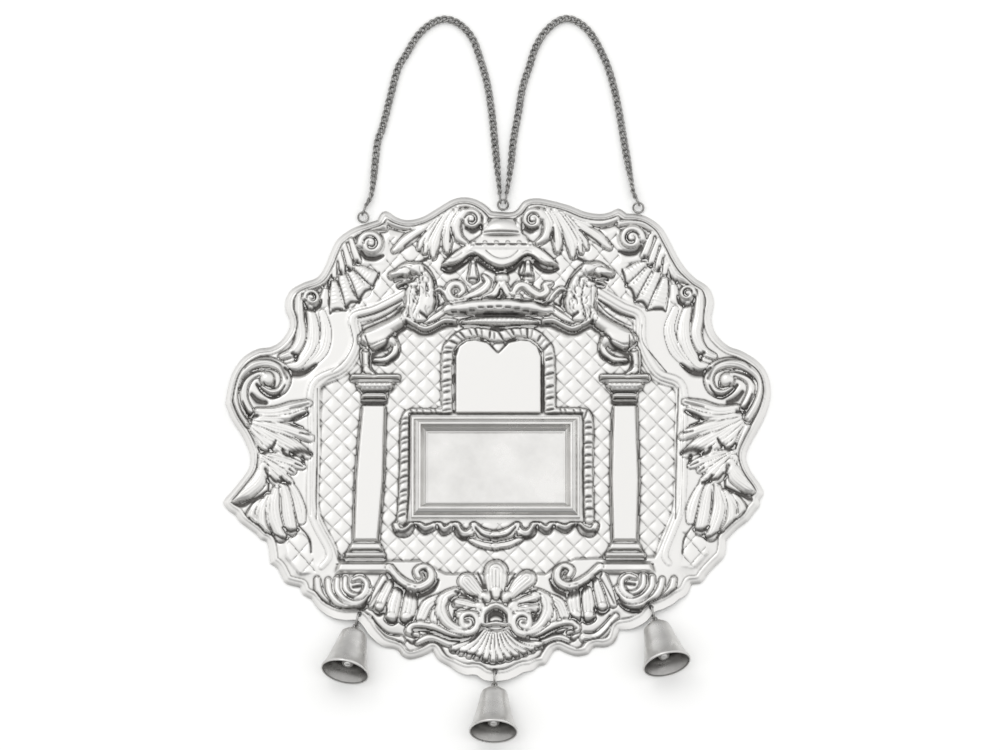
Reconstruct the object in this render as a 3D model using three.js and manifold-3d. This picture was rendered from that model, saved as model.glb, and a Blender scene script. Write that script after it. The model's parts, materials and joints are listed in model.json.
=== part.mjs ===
// Torah shield: an embossed silver sheet with a framed plaque, two curb chains and three bells.
// The shield lies on its back. +X is its right, +Y its top and +Z its front. Lengths are millimetres.

import * as THREE from 'three';
import { mergeVertices } from 'three/addons/utils/BufferGeometryUtils.js';
import Module from 'manifold-3d';

const wasm = await Module();
wasm.setup();

// Driving dimensions of the sheet

const plateWidth = 271;
const plateHeight = 246;
const sheetThickness = 0.8;
const rimWidth = 4.6;
const rimBeadHeight = 0.9;
const groundHeight = 2.2;
const ringPassLift = 2;
const ringPassReach = 16;
const ringHoleRadius = 1.25;
const surroundHeight = 4.2;
const scrollHeight = 6.2;
const crestHeight = 6.6;
const leafHeight = 5.8;
const plumeHeight = 5.2;
const figureHeight = 7.2;
const columnHeight = 7.6;
const borderHeight = 5;
const seatGap = 0.3;

// The drawing of the sheet is in pixels, x to the right and y down
const leftPixel = 224.2;
const rightPixel = 770.4;
const topPixel = 197;
const bottomPixel = 680.5;
const pixelX = plateWidth / (rightPixel - leftPixel);
const pixelY = plateHeight / (bottomPixel - topPixel);
const pixelSize = (pixelX + pixelY) / 2;

// Plaque and its frame
const frameWidth = 83.4;
const frameHeight = 51.2;
const frameMouldingWidth = 8;
const frameMouldingHeight = 6.4;
const frameCentrePixel = [496, 469];
const plaqueThickness = 1;
const frameBedHeight = 2.4;

// Eyes for the chains
const eyeRadius = 2.55;
const eyeWire = 0.5;
const eyeTilt = THREE.MathUtils.degToRad(27);
const leftEyePixel = [363.5, 217.5];
const centreEyePixel = [503.5, 205];
const rightEyePixel = [639, 208];

// Chains
const chainWidth = 4.1;
const chainThickness = 1.9;
const chainPitch = 3.15;
const endLinkWire = 0.4;
const endLinkRise = 3.8;
const endLinkLength = 5.8;
const endLinkBearing = 1.4;
const endLinkSpread = 1.35;
const chainTwistLength = 26;

// Bells
const bellRingRadius = 3.6;
const bellRingWire = 0.5;
const bellLength = 24;
const bellMouthRadius = 12.1;
const bellWall = 0.8;
const stapleRadius = 1.25;
const stapleWire = 0.4;
const crownHoleRadius = 0.8;
const clapperWire = 0.7;
const clapperLength = 12;
const clapperDropRadius = 3;
const centreHolePixel = [495, 672];
const leftHolePixel = [360, 614.5];
const rightHolePixel = [650.5, 607.5];
const centreBellHeading = THREE.MathUtils.degToRad(-1);
const leftBellHeading = THREE.MathUtils.degToRad(-12);
const rightBellHeading = THREE.MathUtils.degToRad(14);

const silver = { color: 0xdfe0e0, roughness: 0.24, metalness: 1 };
const satinSilver = { color: 0xb9babb, roughness: 0.42, metalness: 1 };
const darkSteel = { color: 0x5a5a5c, roughness: 0.38, metalness: 1 };

const shield = new THREE.Group();

function addPiece(name, geometry, finish) {
  const mesh = new THREE.Mesh(geometry, new THREE.MeshStandardMaterial(finish));
  mesh.name = name;
  shield.add(mesh);
  return mesh;
}

// A drawing point as a place on the sheet, measured from the lower left of the drawing
function place([x, y]) {
  return new THREE.Vector2((x - leftPixel) * pixelX, (bottomPixel - y) * pixelY);
}

function solidOf(geometry) {
  const bare = geometry.clone();
  bare.deleteAttribute('normal');
  bare.deleteAttribute('uv');
  const merged = mergeVertices(bare, 1e-4);
  return new wasm.Manifold(new wasm.Mesh({
    numProp: 3,
    vertProperties: new Float32Array(merged.attributes.position.array),
    triVerts: new Uint32Array(merged.index.array),
  }));
}

function geometryOf(solid) {
  const mesh = solid.getMesh();
  const geometry = new THREE.BufferGeometry();
  geometry.setAttribute('position', new THREE.BufferAttribute(mesh.vertProperties, 3));
  geometry.setIndex(new THREE.BufferAttribute(mesh.triVerts, 1));
  return geometry;
}

function joined(...geometries) {
  return geometryOf(geometries.map(solidOf).reduce((all, next) => all.add(next)));
}

// Outline of the sheet. Each row is one lobe, a smooth curve that ends in a corner of the rim.
// The rows run from the top centre down the left half and up the right half.
const rimLobePixels = [
  [[492, 211], [485, 204.5], [475, 199], [464, 197], [452, 199.5], [436, 209], [422, 217], [408, 220],
    [397, 217.5], [390, 213], [385.5, 211], [381, 213], [377, 220]],
  [[377, 220], [366, 223.5], [352, 228.5], [338, 238.5], [331, 251], [325, 266], [317, 277.5], [303, 283],
    [291, 290], [285.5, 300], [285.5, 311], [289.5, 321], [288.5, 330], [281, 341], [271, 347.2],
    [257, 349.5], [243, 358], [233, 372], [228, 388], [225.4, 404]],
  [[225.4, 404], [232, 420], [244, 439], [250.5, 456], [249, 469], [240, 482], [231, 493]],
  [[231, 493], [224.2, 502], [229, 510], [236, 515]],
  [[236, 515], [241, 522], [249, 528], [257, 534]],
  [[257, 534], [262, 539.5], [267.5, 542], [270, 553], [271, 563]],
  [[271, 563], [278, 568], [282.5, 576], [287, 583], [301, 587]],
  [[301, 587], [304, 594], [312, 598.5]],
  [[312, 598.5], [320, 608.5], [332, 616.5], [345, 619.8], [357.5, 620], [364, 626], [371, 635.5],
    [383, 645], [397, 648.5], [403, 655], [411, 658], [423, 655], [433, 650]],
  [[433, 650], [439, 659], [451, 666]],
  [[451, 666], [459, 671], [467, 674]],
  [[467, 674], [476, 674], [484, 679], [494, 680.5]],
  [[494, 680.5], [507, 679], [517, 675]],
  [[517, 675], [523, 671.5], [533, 669]],
  [[533, 669], [538, 665], [545, 663], [550, 655], [553, 650.5]],
  [[553, 650.5], [558, 648.5], [566, 652], [576, 655], [587, 653], [593.5, 646.5], [605, 646],
    [614, 641], [618.5, 629]],
  [[618.5, 629], [632, 628], [645, 621.5], [653, 612.5], [663, 608.5], [672, 604]],
  [[672, 604], [678, 599], [686, 593.5], [690.5, 584]],
  [[690.5, 584], [700, 582.5], [705, 576]],
  [[705, 576], [713, 567], [722, 558], [725, 549], [725.5, 540]],
  [[725.5, 540], [735, 530], [747, 521]],
  [[747, 521], [753, 513], [758.5, 506], [759, 500]],
  [[759, 500], [762.8, 493], [759, 484], [750, 471], [745.5, 457], [750, 444], [760, 426],
    [767, 410], [770.4, 392], [767, 374], [757, 361], [742, 351.5], [728, 346], [716, 334],
    [711.5, 319], [714, 302], [709, 288], [697, 279.5]],
  [[697, 279.5], [688, 271], [679, 258.5], [671, 243], [662, 227.5], [649, 217.5], [638, 214], [627, 213.5]],
  [[627, 213.5], [619, 208.5], [610, 212], [600, 213.8], [585, 211.5], [570, 205.5], [552, 200.5],
    [536, 198], [524, 201], [513.5, 211.5]],
];

const rimSpacingPixels = 7;

function sampledLobes(spacing) {
  const outline = [];
  for (const lobe of rimLobePixels) {
    const curve = new THREE.SplineCurve(lobe.map(([x, y]) => new THREE.Vector2(x, y)));
    const steps = Math.max(2, Math.round(curve.getLength() / spacing));
    outline.push(...curve.getSpacedPoints(steps).slice(0, -1));
  }
  return [...outline, new THREE.Vector2(...rimLobePixels.at(-1).at(-1))];
}

const outlinePixels = sampledLobes(rimSpacingPixels);

function distanceToSegment(x, y, ax, ay, bx, by) {
  const dx = bx - ax;
  const dy = by - ay;
  const span = dx * dx + dy * dy;
  const share = span ? THREE.MathUtils.clamp(((x - ax) * dx + (y - ay) * dy) / span, 0, 1) : 0;
  return [Math.hypot(x - ax - share * dx, y - ay - share * dy), share];
}

// Distance from the outline, positive inside it
function depthInside(points, x, y) {
  let nearest = Infinity;
  let inside = false;
  for (let i = 0, j = points.length - 1; i < points.length; j = i, i += 1) {
    const a = points[j];
    const b = points[i];
    nearest = Math.min(nearest, distanceToSegment(x, y, a.x, a.y, b.x, b.y)[0]);
    if ((a.y > y) !== (b.y > y) && x < (b.x - a.x) * (y - a.y) / (b.y - a.y) + a.x) {
      inside = !inside;
    }
  }
  return inside ? nearest : -nearest;
}

// Forms of the relief. Heights are millimetres over the back of the rim, places and widths are
// pixels of the drawing. The right half repeats the left across a centre line that leans a little.

const centreLineTop = [503.5, 205];
const centreLineFoot = [494.5, 675];
const rightHalfLift = 3;

function acrossCentre([x, y]) {
  const share = (y - centreLineTop[1]) / (centreLineFoot[1] - centreLineTop[1]);
  const centre = THREE.MathUtils.lerp(centreLineTop[0], centreLineFoot[0], share);
  return [2 * centre - x, y - rightHalfLift];
}

function inBothHalves([points, halfWidths, height]) {
  return [ridge(points, halfWidths, height), ridge(points.map(acrossCentre), halfWidths, height)];
}

function boxAround(points, reach) {
  const xs = points.map((p) => p[0]);
  const ys = points.map((p) => p[1]);
  return [Math.min(...xs) - reach, Math.min(...ys) - reach, Math.max(...xs) + reach, Math.max(...ys) + reach];
}

function smoothCurve(points) {
  return new THREE.SplineCurve(points.map(([x, y]) => new THREE.Vector2(x, y)));
}

// A rounded ridge along a curve, whose half width runs through a list of values
function ridge(points, halfWidths, height) {
  const route = smoothCurve(points).getPoints(points.length * 3);
  const reach = Math.max(...halfWidths);
  const box = boxAround(route.map((p) => [p.x, p.y]), reach);
  const shape = (x, y, under) => {
    let best = 0;
    for (let i = 1; i < route.length; i += 1) {
      const [from, to] = [route[i - 1], route[i]];
      const [distance, share] = distanceToSegment(x, y, from.x, from.y, to.x, to.y);
      const along = (i - 1 + share) / (route.length - 1) * (halfWidths.length - 1);
      const low = Math.min(Math.floor(along), halfWidths.length - 2);
      const half = THREE.MathUtils.lerp(halfWidths[low], halfWidths[low + 1], along - low);
      best = Math.max(best, 1 - (distance / half) ** 2);
    }
    return best > 0 ? Math.max(under, groundHeight + (height - groundHeight) * Math.sqrt(best)) : under;
  };
  return { box, shape };
}

// A field inside an outline that is brought to one height, with sloping sides
function field(points, slope, height) {
  const outline = points.map(([x, y]) => new THREE.Vector2(x, y));
  const shape = (x, y, under) => {
    const depth = depthInside(outline, x, y);
    return depth > 0 ? THREE.MathUtils.lerp(under, height, Math.min(1, depth / slope)) : under;
  };
  return { box: boxAround(points, 0), shape };
}

// A scroll that winds inwards round its centre
const scrollSteps = 8;
const scrollEyeShare = 0.15;
const scrollBandShares = [0.34, 0.26, 0.2];

function volute(centre, radius, turns, startAngle, height) {
  const steps = Math.round(Math.abs(turns) * scrollSteps);
  const points = [];
  for (let i = 0; i <= steps; i += 1) {
    const angle = startAngle + i / steps * turns * 2 * Math.PI;
    const reach = radius * THREE.MathUtils.lerp(1, scrollEyeShare, i / steps);
    points.push([centre[0] + reach * Math.cos(angle), centre[1] + reach * Math.sin(angle)]);
  }
  return ridge(points, scrollBandShares.map((share) => share * radius), height);
}

const fieldPixels = [[400, 306], [352, 322], [352, 345], [338, 372], [314, 388], [315, 520], [330, 545],
  [338, 562], [420, 562], [445, 575], [545, 575], [575, 560], [655, 558], [668, 530], [682, 505],
  [682, 388], [657, 368], [644, 345], [640, 316], [600, 300], [560, 322], [440, 322]];
const borderPixels = [[397, 304], [354, 319], [353, 345], [338, 371], [312, 385]];
const sideBorderPixels = [[313, 388], [311, 430], [309, 500], [316, 524], [330, 552]];

// Volutes of the left half: centre and radius
const scrolls = [
  [[471.5, 219], 13],
  [[370.5, 243.5], 14],
  [[311, 298.5], 10],
  [[267, 379], 11],
];
const scrollTurns = 1.4;
const scrollStart = 1.9;

// Ridges of the left half: the curve, its half widths and its height
const surroundRidges = [
  [borderPixels, [5, 5], borderHeight],
  [sideBorderPixels, [5, 5, 6], borderHeight],
  // Leaves over the crown's side
  [[[485, 218], [466, 205], [450, 208], [436, 216], [420, 224], [402, 226], [388, 222]],
    [4, 6, 6, 6, 4], scrollHeight],
  [[[436, 222], [420, 231], [408, 240], [394, 250]], [5, 8, 7, 4], scrollHeight],
  [[[441, 217], [431, 234], [424, 250]], [4, 8, 5], scrollHeight],
  [[[453, 211], [443, 232], [440, 254]], [5, 10, 6], crestHeight],
  // Wing between the upper volutes, its flutes and its plumes
  [[[384, 226], [360, 228], [345, 237], [334, 258], [322, 279], [299, 293]], [5, 6, 6, 6, 4], scrollHeight],
  [[[353, 246], [343, 259], [332, 274]], [7, 7, 5], leafHeight],
  [[[354, 264], [379, 281]], [5, 7, 5], plumeHeight],
  [[[346, 271], [369, 292]], [5, 7, 5], plumeHeight],
  [[[336, 279], [353, 303]], [5, 7, 5], plumeHeight],
  [[[327, 287], [338, 309]], [5, 7, 5], plumeHeight],
  // Long leaves beside the outer volute
  [[[299, 300], [300, 320], [301, 338], [292, 352], [282, 357]], [5, 7, 7, 5, 4], leafHeight],
  [[[316, 310], [320, 330], [314, 352], [298, 366]], [5, 8, 8, 4], plumeHeight],
  // Band of the side scroll and the leaf below it
  [[[285, 376], [268, 361], [252, 364], [239, 379], [235, 398], [240, 414], [250, 428]],
    [5, 7, 7, 8, 8, 6], crestHeight],
  [[[249, 432], [255, 450], [256, 468], [247, 488], [230, 501]], [5, 8, 9, 8, 4], leafHeight],
  // Leaves from the side scroll to the border
  [[[254, 427], [270, 438], [288, 452]], [4, 8, 6], scrollHeight],
  [[[256, 421], [280, 430], [308, 446]], [5, 8, 5], scrollHeight],
  [[[257, 414], [282, 414], [309, 404]], [4, 8, 5], crestHeight],
  [[[261, 458], [280, 463], [302, 468]], [4, 8, 4], leafHeight],
  [[[262, 461], [274, 472], [288, 483]], [4, 8, 5], scrollHeight],
  [[[264, 466], [259, 480], [247, 491], [231, 501]], [4, 8, 8, 3], crestHeight],
  // Leaf at the foot of the side
  [[[264, 500], [255, 511], [254, 523]], [4, 7, 5], leafHeight],
  [[[271, 494], [267, 512], [270, 533]], [5, 8, 6], scrollHeight],
  [[[283, 488], [282, 508], [287, 533]], [5, 9, 7], crestHeight],
  [[[292, 486], [298, 502], [302, 520]], [4, 6, 5], leafHeight],
  // Scroll below the ledge, the scroll on it and the flutes between them
  [[[329, 579], [331, 592], [341, 602], [356, 606], [368, 600], [371, 588]], [5, 7, 7, 5], leafHeight],
  [[[347, 578], [348, 589], [358, 595], [367, 586], [361, 577]], [5, 6, 6, 4], scrollHeight],
  [[[390, 567], [399, 578], [412, 586], [428, 583], [432, 572], [423, 567]], [5, 7, 6, 4], crestHeight],
  [[[384, 580], [378, 593], [374, 606]], [6, 7, 6], leafHeight],
  [[[396, 592], [392, 606], [391, 617]], [7, 8, 7], leafHeight],
  [[[410, 594], [408, 606], [406, 617]], [7, 9, 7], leafHeight],
  [[[442, 597], [428, 606], [422, 618]], [5, 7, 5], plumeHeight],
  // Wave over the rim, and the spiral that it runs into
  [[[405, 634], [413, 626], [428, 625], [446, 633], [466, 636], [482, 628]], [5, 6, 6, 6, 4], leafHeight],
  [[[456, 592], [444, 600], [443, 613], [453, 626], [467, 629], [478, 621], [474, 610], [463, 612]],
    [5, 7, 7, 6, 5, 4], crestHeight],
];

// The two lions that hold the crown: haunch, trunk, mane, neck, head, jaw, then legs
const lionRidges = [
  [[[368, 330], [378, 335], [388, 335]], [11, 13, 9], figureHeight],
  [[[376, 330], [394, 326], [410, 318]], [10, 10, 11], figureHeight],
  [[[412, 322], [417, 306], [424, 292]], [12, 13, 11], figureHeight],
  [[[424, 296], [427, 280], [421, 266]], [9, 9, 7], figureHeight],
  [[[420, 272], [408, 270], [394, 276]], [9, 10, 6], figureHeight],
  [[[418, 286], [409, 287], [401, 291]], [5, 5, 3], scrollHeight],
  [[[426, 322], [438, 318], [452, 312]], [6, 6, 4], crestHeight],
  [[[366, 336], [365, 352], [367, 370]], [8, 6, 6], crestHeight],
  [[[390, 338], [395, 350], [386, 358], [374, 358]], [7, 6, 5, 4], crestHeight],
];

// Crown over the tablets: dome, canopy, curls, band and the gadroons under it
const domePixels = [[484, 233], [488, 224], [495, 218], [502, 216], [509, 218], [516, 224], [520, 233]];
const canopyPixels = [[481, 232], [522, 232], [531, 241], [546, 250], [557, 261], [552, 268], [540, 264],
  [528, 256], [516, 264], [502, 269], [488, 264], [474, 255], [462, 262], [450, 268], [441, 264],
  [453, 251], [469, 241]];
const crownSlopePixels = 5;
const crownRidges = [
  [[[473, 262], [473, 271], [473, 279]], [4, 5, 6], leafHeight],
  [[[527, 262], [527, 271], [527, 279]], [4, 5, 6], leafHeight],
  [[[452, 299], [449, 289], [457, 285], [463, 293]], [4, 6, 6, 4], leafHeight],
  [[[466, 296], [478, 290], [486, 283], [493, 292]], [5, 7, 6, 5], leafHeight],
  [[[502, 276], [498, 286], [502, 297]], [7, 7, 6], leafHeight],
  [[[512, 293], [520, 285], [532, 292], [545, 290], [541, 297]], [5, 7, 7, 6, 4], leafHeight],
  [[[448, 310], [472, 305], [500, 303], [528, 305], [549, 310]], [7, 7, 7, 7, 7], figureHeight],
  [[[462, 322], [500, 322], [538, 322]], [4, 5, 4], scrollHeight],
];

const tabletPixels = [[454.5, 417], [454.5, 356], [458, 345], [466, 339], [476, 338], [488, 341], [498, 351],
  [508, 341], [520, 338], [530, 339], [538, 345], [542, 356], [542, 417]];
const tabletBorderPixels = [[448, 414], [448, 356], [455, 340], [474, 331], [498, 340], [522, 331],
  [541, 340], [548, 356], [549, 414]];
const plaqueBorderPixels = [[446, 410], [420, 411], [404, 412], [402, 470], [399, 526], [440, 527],
  [480, 527], [496, 540], [512, 527], [560, 525], [588, 522], [588, 470], [589, 412], [560, 411], [550, 410]];
const tabletHeight = 4.4;
const gadroonHeight = 4.8;
const tabletSlopePixels = 2;
const fieldSlopePixels = 10;
const tabletBorderHalfPixels = [6, 6];
const plaqueBorderHalfPixels = [7, 7];

// A column from its neck to its base: half widths of the shaft, blocks as upper edge, lower edge
// and the half width at each, and rings as height, half length and half width
const columnWaistPixel = 470;
const shaftHalfPixels = [12.7, 15.5, 13.4];
const columnBlocks = [
  [[372, 380, 25, 25], columnHeight],
  [[380, 393, 22, 13], figureHeight],
  [[550, 560, 18, 21], figureHeight],
  [[560, 574, 27, 31], columnHeight],
];
const columnRings = [
  [[398, 11, 5], columnHeight],
  [[546, 15, 5], columnHeight],
];
const blockSlopePixels = 3;

function columnForms(top, foot) {
  const across = (y) => THREE.MathUtils.mapLinear(y, top[1], foot[1], top[0], foot[0]);
  return [
    ridge([top, [across(columnWaistPixel), columnWaistPixel], foot], shaftHalfPixels, columnHeight),
    ...columnBlocks.map(([[upper, lower, half, lowerHalf], height]) => field([[across(upper) - half, upper],
      [across(upper) + half, upper], [across(lower) + lowerHalf, lower], [across(lower) - lowerHalf, lower]],
    blockSlopePixels, height)),
    ...columnRings.map(([[y, half, rise], height]) => ridge([[across(y) - half, y], [across(y), y],
      [across(y) + half, y]], [rise, rise], height)),
  ];
}

const leftColumnPixels = [[374, 403], [366.5, 542]];
const rightColumnPixels = [[624.6, 403], [624.6, 542]];

// Shell at the foot and the fan below it: ribs from a root near the centre to their tips
const shellCentre = [496, 604];
const shellTips = [[453, 602], [457, 583], [472, 567], [496, 561], [520, 567], [537, 583], [541, 600]];
const shellRootShare = 0.36;
const shellHalfPixels = [4, 8, 6];
const shellBossPixels = [[484, 622], [485, 608], [496, 602], [507, 608], [509, 622]];
const shellBossHalfPixels = [5, 6, 6, 5];
const fanRoots = [[485, 627], [490, 631], [497, 632], [504, 631], [510, 627]];
const fanTips = [[455, 645], [474, 651], [496, 657], [518, 650], [539, 641]];
const fanHalfPixels = [3, 7, 8];

function shellForms() {
  const root = (tip) => shellCentre.map((value, k) => THREE.MathUtils.lerp(value, tip[k], shellRootShare));
  return [
    ...shellTips.map((tip) => ridge([root(tip), tip], shellHalfPixels, scrollHeight)),
    ...fanTips.map((tip, k) => ridge([fanRoots[k], tip], fanHalfPixels, leafHeight)),
    ridge(shellBossPixels, shellBossHalfPixels, figureHeight),
  ];
}

// Flat bed of the plaque frame, a little larger than the frame
const bedMarginPixels = 4;
const bedSlopePixels = 2;

function bedCorners(margin) {
  const halfX = frameWidth / 2 / pixelX + margin;
  const halfY = frameHeight / 2 / pixelY + margin;
  return [[-1, -1], [1, -1], [1, 1], [-1, 1]]
    .map(([sideX, sideY]) => [frameCentrePixel[0] + sideX * halfX, frameCentrePixel[1] + sideY * halfY]);
}

const frameBed = field(bedCorners(bedMarginPixels), bedSlopePixels, frameBedHeight);

// Lines along which the net of the sheet has points, so that its edges follow them
const creases = [bedCorners(bedMarginPixels), bedCorners(bedMarginPixels - bedSlopePixels), tabletPixels];
const creaseSpacingPixels = 8;

const reliefForms = [
  field(fieldPixels, fieldSlopePixels, groundHeight),
  ...surroundRidges.flatMap(inBothHalves),
  ...scrolls.flatMap(([centre, radius]) => [volute(centre, radius, scrollTurns, scrollStart, crestHeight),
    volute(acrossCentre(centre), radius, -scrollTurns, Math.PI - scrollStart, crestHeight)]),
  ...columnForms(...leftColumnPixels),
  ...columnForms(...rightColumnPixels),
  ...lionRidges.flatMap(inBothHalves),
  ridge(tabletBorderPixels, tabletBorderHalfPixels, gadroonHeight),
  ridge(plaqueBorderPixels, plaqueBorderHalfPixels, gadroonHeight),
  field(tabletPixels, tabletSlopePixels, tabletHeight),
  field(canopyPixels, crownSlopePixels, scrollHeight),
  field(domePixels, crownSlopePixels, figureHeight),
  ...crownRidges.map(([points, widths, height]) => ridge(points, widths, height)),
  ...shellForms(),
  frameBed,
];

const rimPixels = rimWidth / pixelSize;
const beadHalfPixels = 2;
const rimFadePixels = 5;
const surroundSlopePixels = 26;
const holes = [leftHolePixel, centreHolePixel, rightHolePixel];

// The rim lifts where a bell ring passes under it
function liftAt(x, y) {
  const nearest = Math.min(...holes.map((hole) => Math.hypot(x - hole[0], y - hole[1]))) * pixelSize;
  return ringPassLift * (1 - THREE.MathUtils.smoothstep(nearest, ringPassReach / 2, ringPassReach * 1.5));
}

function heightAt(x, y) {
  const depth = depthInside(outlinePixels, x, y);
  const past = depth - rimPixels;
  let height = sheetThickness;
  if (past > 0) {
    const slope = Math.min(1, past / surroundSlopePixels);
    let form = THREE.MathUtils.lerp(groundHeight, surroundHeight, slope);
    for (const { box, shape } of reliefForms) {
      if (x > box[0] && y > box[1] && x < box[2] && y < box[3]) {
        form = shape(x, y, form);
      }
    }
    height = THREE.MathUtils.lerp(sheetThickness, form, Math.min(1, past / rimFadePixels));
  }
  const bead = Math.max(0, 1 - (past / beadHalfPixels) ** 2);
  return Math.max(height, sheetThickness + rimBeadHeight * bead) + liftAt(x, y);
}

// A net of triangles over scattered points, in which no point lies inside another triangle's circle
class Net {
  constructor(centre, reach) {
    this.points = [[centre[0] - reach, centre[1] - reach], [centre[0] + reach, centre[1] - reach],
      [centre[0], centre[1] + reach]];
    this.triangles = [this.triangle(0, 1, 2)];
  }

  triangle(a, b, c) {
    const [ax, ay] = this.points[a];
    const bx = this.points[b][0] - ax;
    const by = this.points[b][1] - ay;
    const cx = this.points[c][0] - ax;
    const cy = this.points[c][1] - ay;
    const twice = 2 * (bx * cy - by * cx);
    const x = (cy * (bx * bx + by * by) - by * (cx * cx + cy * cy)) / twice;
    const y = (bx * (cx * cx + cy * cy) - cx * (bx * bx + by * by)) / twice;
    return { corners: [a, b, c], x: ax + x, y: ay + y, reach: x * x + y * y };
  }

  add(point) {
    const index = this.points.push(point) - 1;
    const edges = new Map();
    this.triangles = this.triangles.filter((old) => {
      if ((point[0] - old.x) ** 2 + (point[1] - old.y) ** 2 > old.reach) {
        return true;
      }
      old.corners.forEach((from, i) => {
        const to = old.corners[(i + 1) % 3];
        if (!edges.delete(`${to},${from}`)) {
          edges.set(`${from},${to}`, [from, to]);
        }
      });
      return false;
    });
    for (const [from, to] of edges.values()) {
      this.triangles.push(this.triangle(from, to, index));
    }
  }
}

const holeSides = 8;
const gridPixels = 22;
const clearPixels = 4.5;
const apartPixels = 5;
const leastEdgePixels = 2.5;
const netPointLimit = 1940;
const netRounds = 7;
const netTolerance = 0.2;
const netReachShare = 10;
const rimLineShare = 0.9;
const holeTurnShare = 0.3;
const spotSteps = 4;

function insideSheet(x, y, clearance) {
  const holeReach = ringHoleRadius / pixelSize + clearance;
  return depthInside(outlinePixels, x, y) > clearance
    && holes.every((hole) => Math.hypot(x - hole[0], y - hole[1]) > holeReach);
}

// Points at one depth inside the outline, one beside each of the outline's own
function rimLine(depth) {
  return outlinePixels.map((p, i) => {
    const after = outlinePixels[(i + 1) % outlinePixels.length];
    const run = after.clone().sub(outlinePixels.at(i - 1)).normalize();
    return [p.x + run.y * depth, p.y - run.x * depth];
  }).filter(([x, y]) => depthInside(outlinePixels, x, y) > rimLineShare * depth);
}

// Where the net departs most from the relief inside one triangle
function worstSpot(corners) {
  const [a, b, c] = corners;
  let worst = { error: 0 };
  for (let i = 0; i <= spotSteps; i += 1) {
    for (let j = 0; j <= spotSteps - i; j += 1) {
      const shares = [i, j, spotSteps - i - j].map((part) => part / spotSteps);
      if (Math.max(...shares) < 1) {
        const [x, y, flat] = [0, 1, 2].map((k) => shares[0] * a[k] + shares[1] * b[k] + shares[2] * c[k]);
        const height = heightAt(x, y);
        const error = Math.abs(height - flat);
        if (error > worst.error) {
          worst = { error, point: [x, y, height] };
        }
      }
    }
  }
  return worst;
}

function sheetNet() {
  const middle = [(leftPixel + rightPixel) / 2, (topPixel + bottomPixel) / 2];
  const net = new Net(middle, (rightPixel - leftPixel) * netReachShare);
  const addSpot = (x, y) => net.add([x, y, heightAt(x, y)]);
  const addApart = (spots, apart) => {
    for (const [x, y] of spots) {
      if (net.points.every((p) => Math.hypot(p[0] - x, p[1] - y) > apart) && insideSheet(x, y, clearPixels)) {
        addSpot(x, y);
      }
    }
  };
  outlinePixels.forEach((p) => addSpot(p.x, p.y));
  for (const hole of holes) {
    for (let i = 0; i < holeSides; i += 1) {
      const angle = (i + holeTurnShare) / holeSides * 2 * Math.PI;
      addSpot(hole[0] + ringHoleRadius / pixelX * Math.cos(angle),
        hole[1] + ringHoleRadius / pixelY * Math.sin(angle));
    }
  }
  for (const crease of creases) {
    crease.forEach((from, i) => {
      const to = crease[(i + 1) % crease.length];
      const steps = Math.ceil(Math.hypot(to[0] - from[0], to[1] - from[1]) / creaseSpacingPixels);
      for (let j = 0; j < steps; j += 1) {
        addSpot(...from.map((value, axis) => THREE.MathUtils.lerp(value, to[axis], j / steps)));
      }
    });
  }
  addApart(rimLine(rimPixels - beadHalfPixels), apartPixels);
  addApart(rimLine(rimPixels + rimFadePixels), apartPixels);
  let row = 0;
  for (let y = topPixel; y < bottomPixel; y += gridPixels) {
    row += 1;
    for (let x = leftPixel; x < rightPixel; x += gridPixels) {
      const spot = [x + (row % 2) * gridPixels / 2, y + Math.sin(x) / 2];
      if (insideSheet(spot[0], spot[1], clearPixels)) {
        addSpot(...spot);
      }
    }
  }
  for (let round = 0; round < netRounds; round += 1) {
    const room = Math.round((netPointLimit - net.points.length) / (netRounds - round));
    const spots = net.triangles
      .filter((old) => Math.min(...old.corners) > 2)
      .map((old) => worstSpot(old.corners.map((i) => net.points[i])))
      .filter(({ error, point }) => error > netTolerance && insideSheet(point[0], point[1], clearPixels));
    spots.sort((a, b) => b.error - a.error);
    addApart(spots.slice(0, room).map(({ point }) => point), leastEdgePixels);
  }
  return net;
}

// The sheet, with the relief on its front and the same relief sunk in its back
function sheetGeometry() {
  const { points, triangles } = sheetNet();
  const count = points.length;
  const positions = [];
  for (const drop of [0, sheetThickness]) {
    for (const [x, y, height] of points) {
      positions.push((x - leftPixel) * pixelX, (bottomPixel - y) * pixelY, (height ?? 0) - drop);
    }
  }
  const index = [];
  const open = new Map();
  for (const { corners } of triangles) {
    const [x, y] = [0, 1].map((k) => corners.reduce((sum, i) => sum + points[i][k], 0) / 3);
    if (Math.min(...corners) > 2 && insideSheet(x, y, 0)) {
      const [a, b, c] = corners;
      const turn = (points[b][0] - points[a][0]) * (points[c][1] - points[a][1])
        - (points[b][1] - points[a][1]) * (points[c][0] - points[a][0]);
      const face = turn < 0 ? [a, b, c] : [a, c, b];
      index.push(...face, ...face.map((i) => i + count).reverse());
      face.forEach((from, i) => {
        const to = face[(i + 1) % 3];
        if (!open.delete(`${to},${from}`)) {
          open.set(`${from},${to}`, [from, to]);
        }
      });
    }
  }
  for (const [from, to] of open.values()) {
    index.push(from, from + count, to, to, from + count, to + count);
  }
  const geometry = new THREE.BufferGeometry();
  geometry.setAttribute('position', new THREE.Float32BufferAttribute(positions, 3));
  geometry.setIndex(index);
  return mergeVertices(geometry.toNonIndexed());
}

addPiece('shield_plate', sheetGeometry(), silver);

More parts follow.
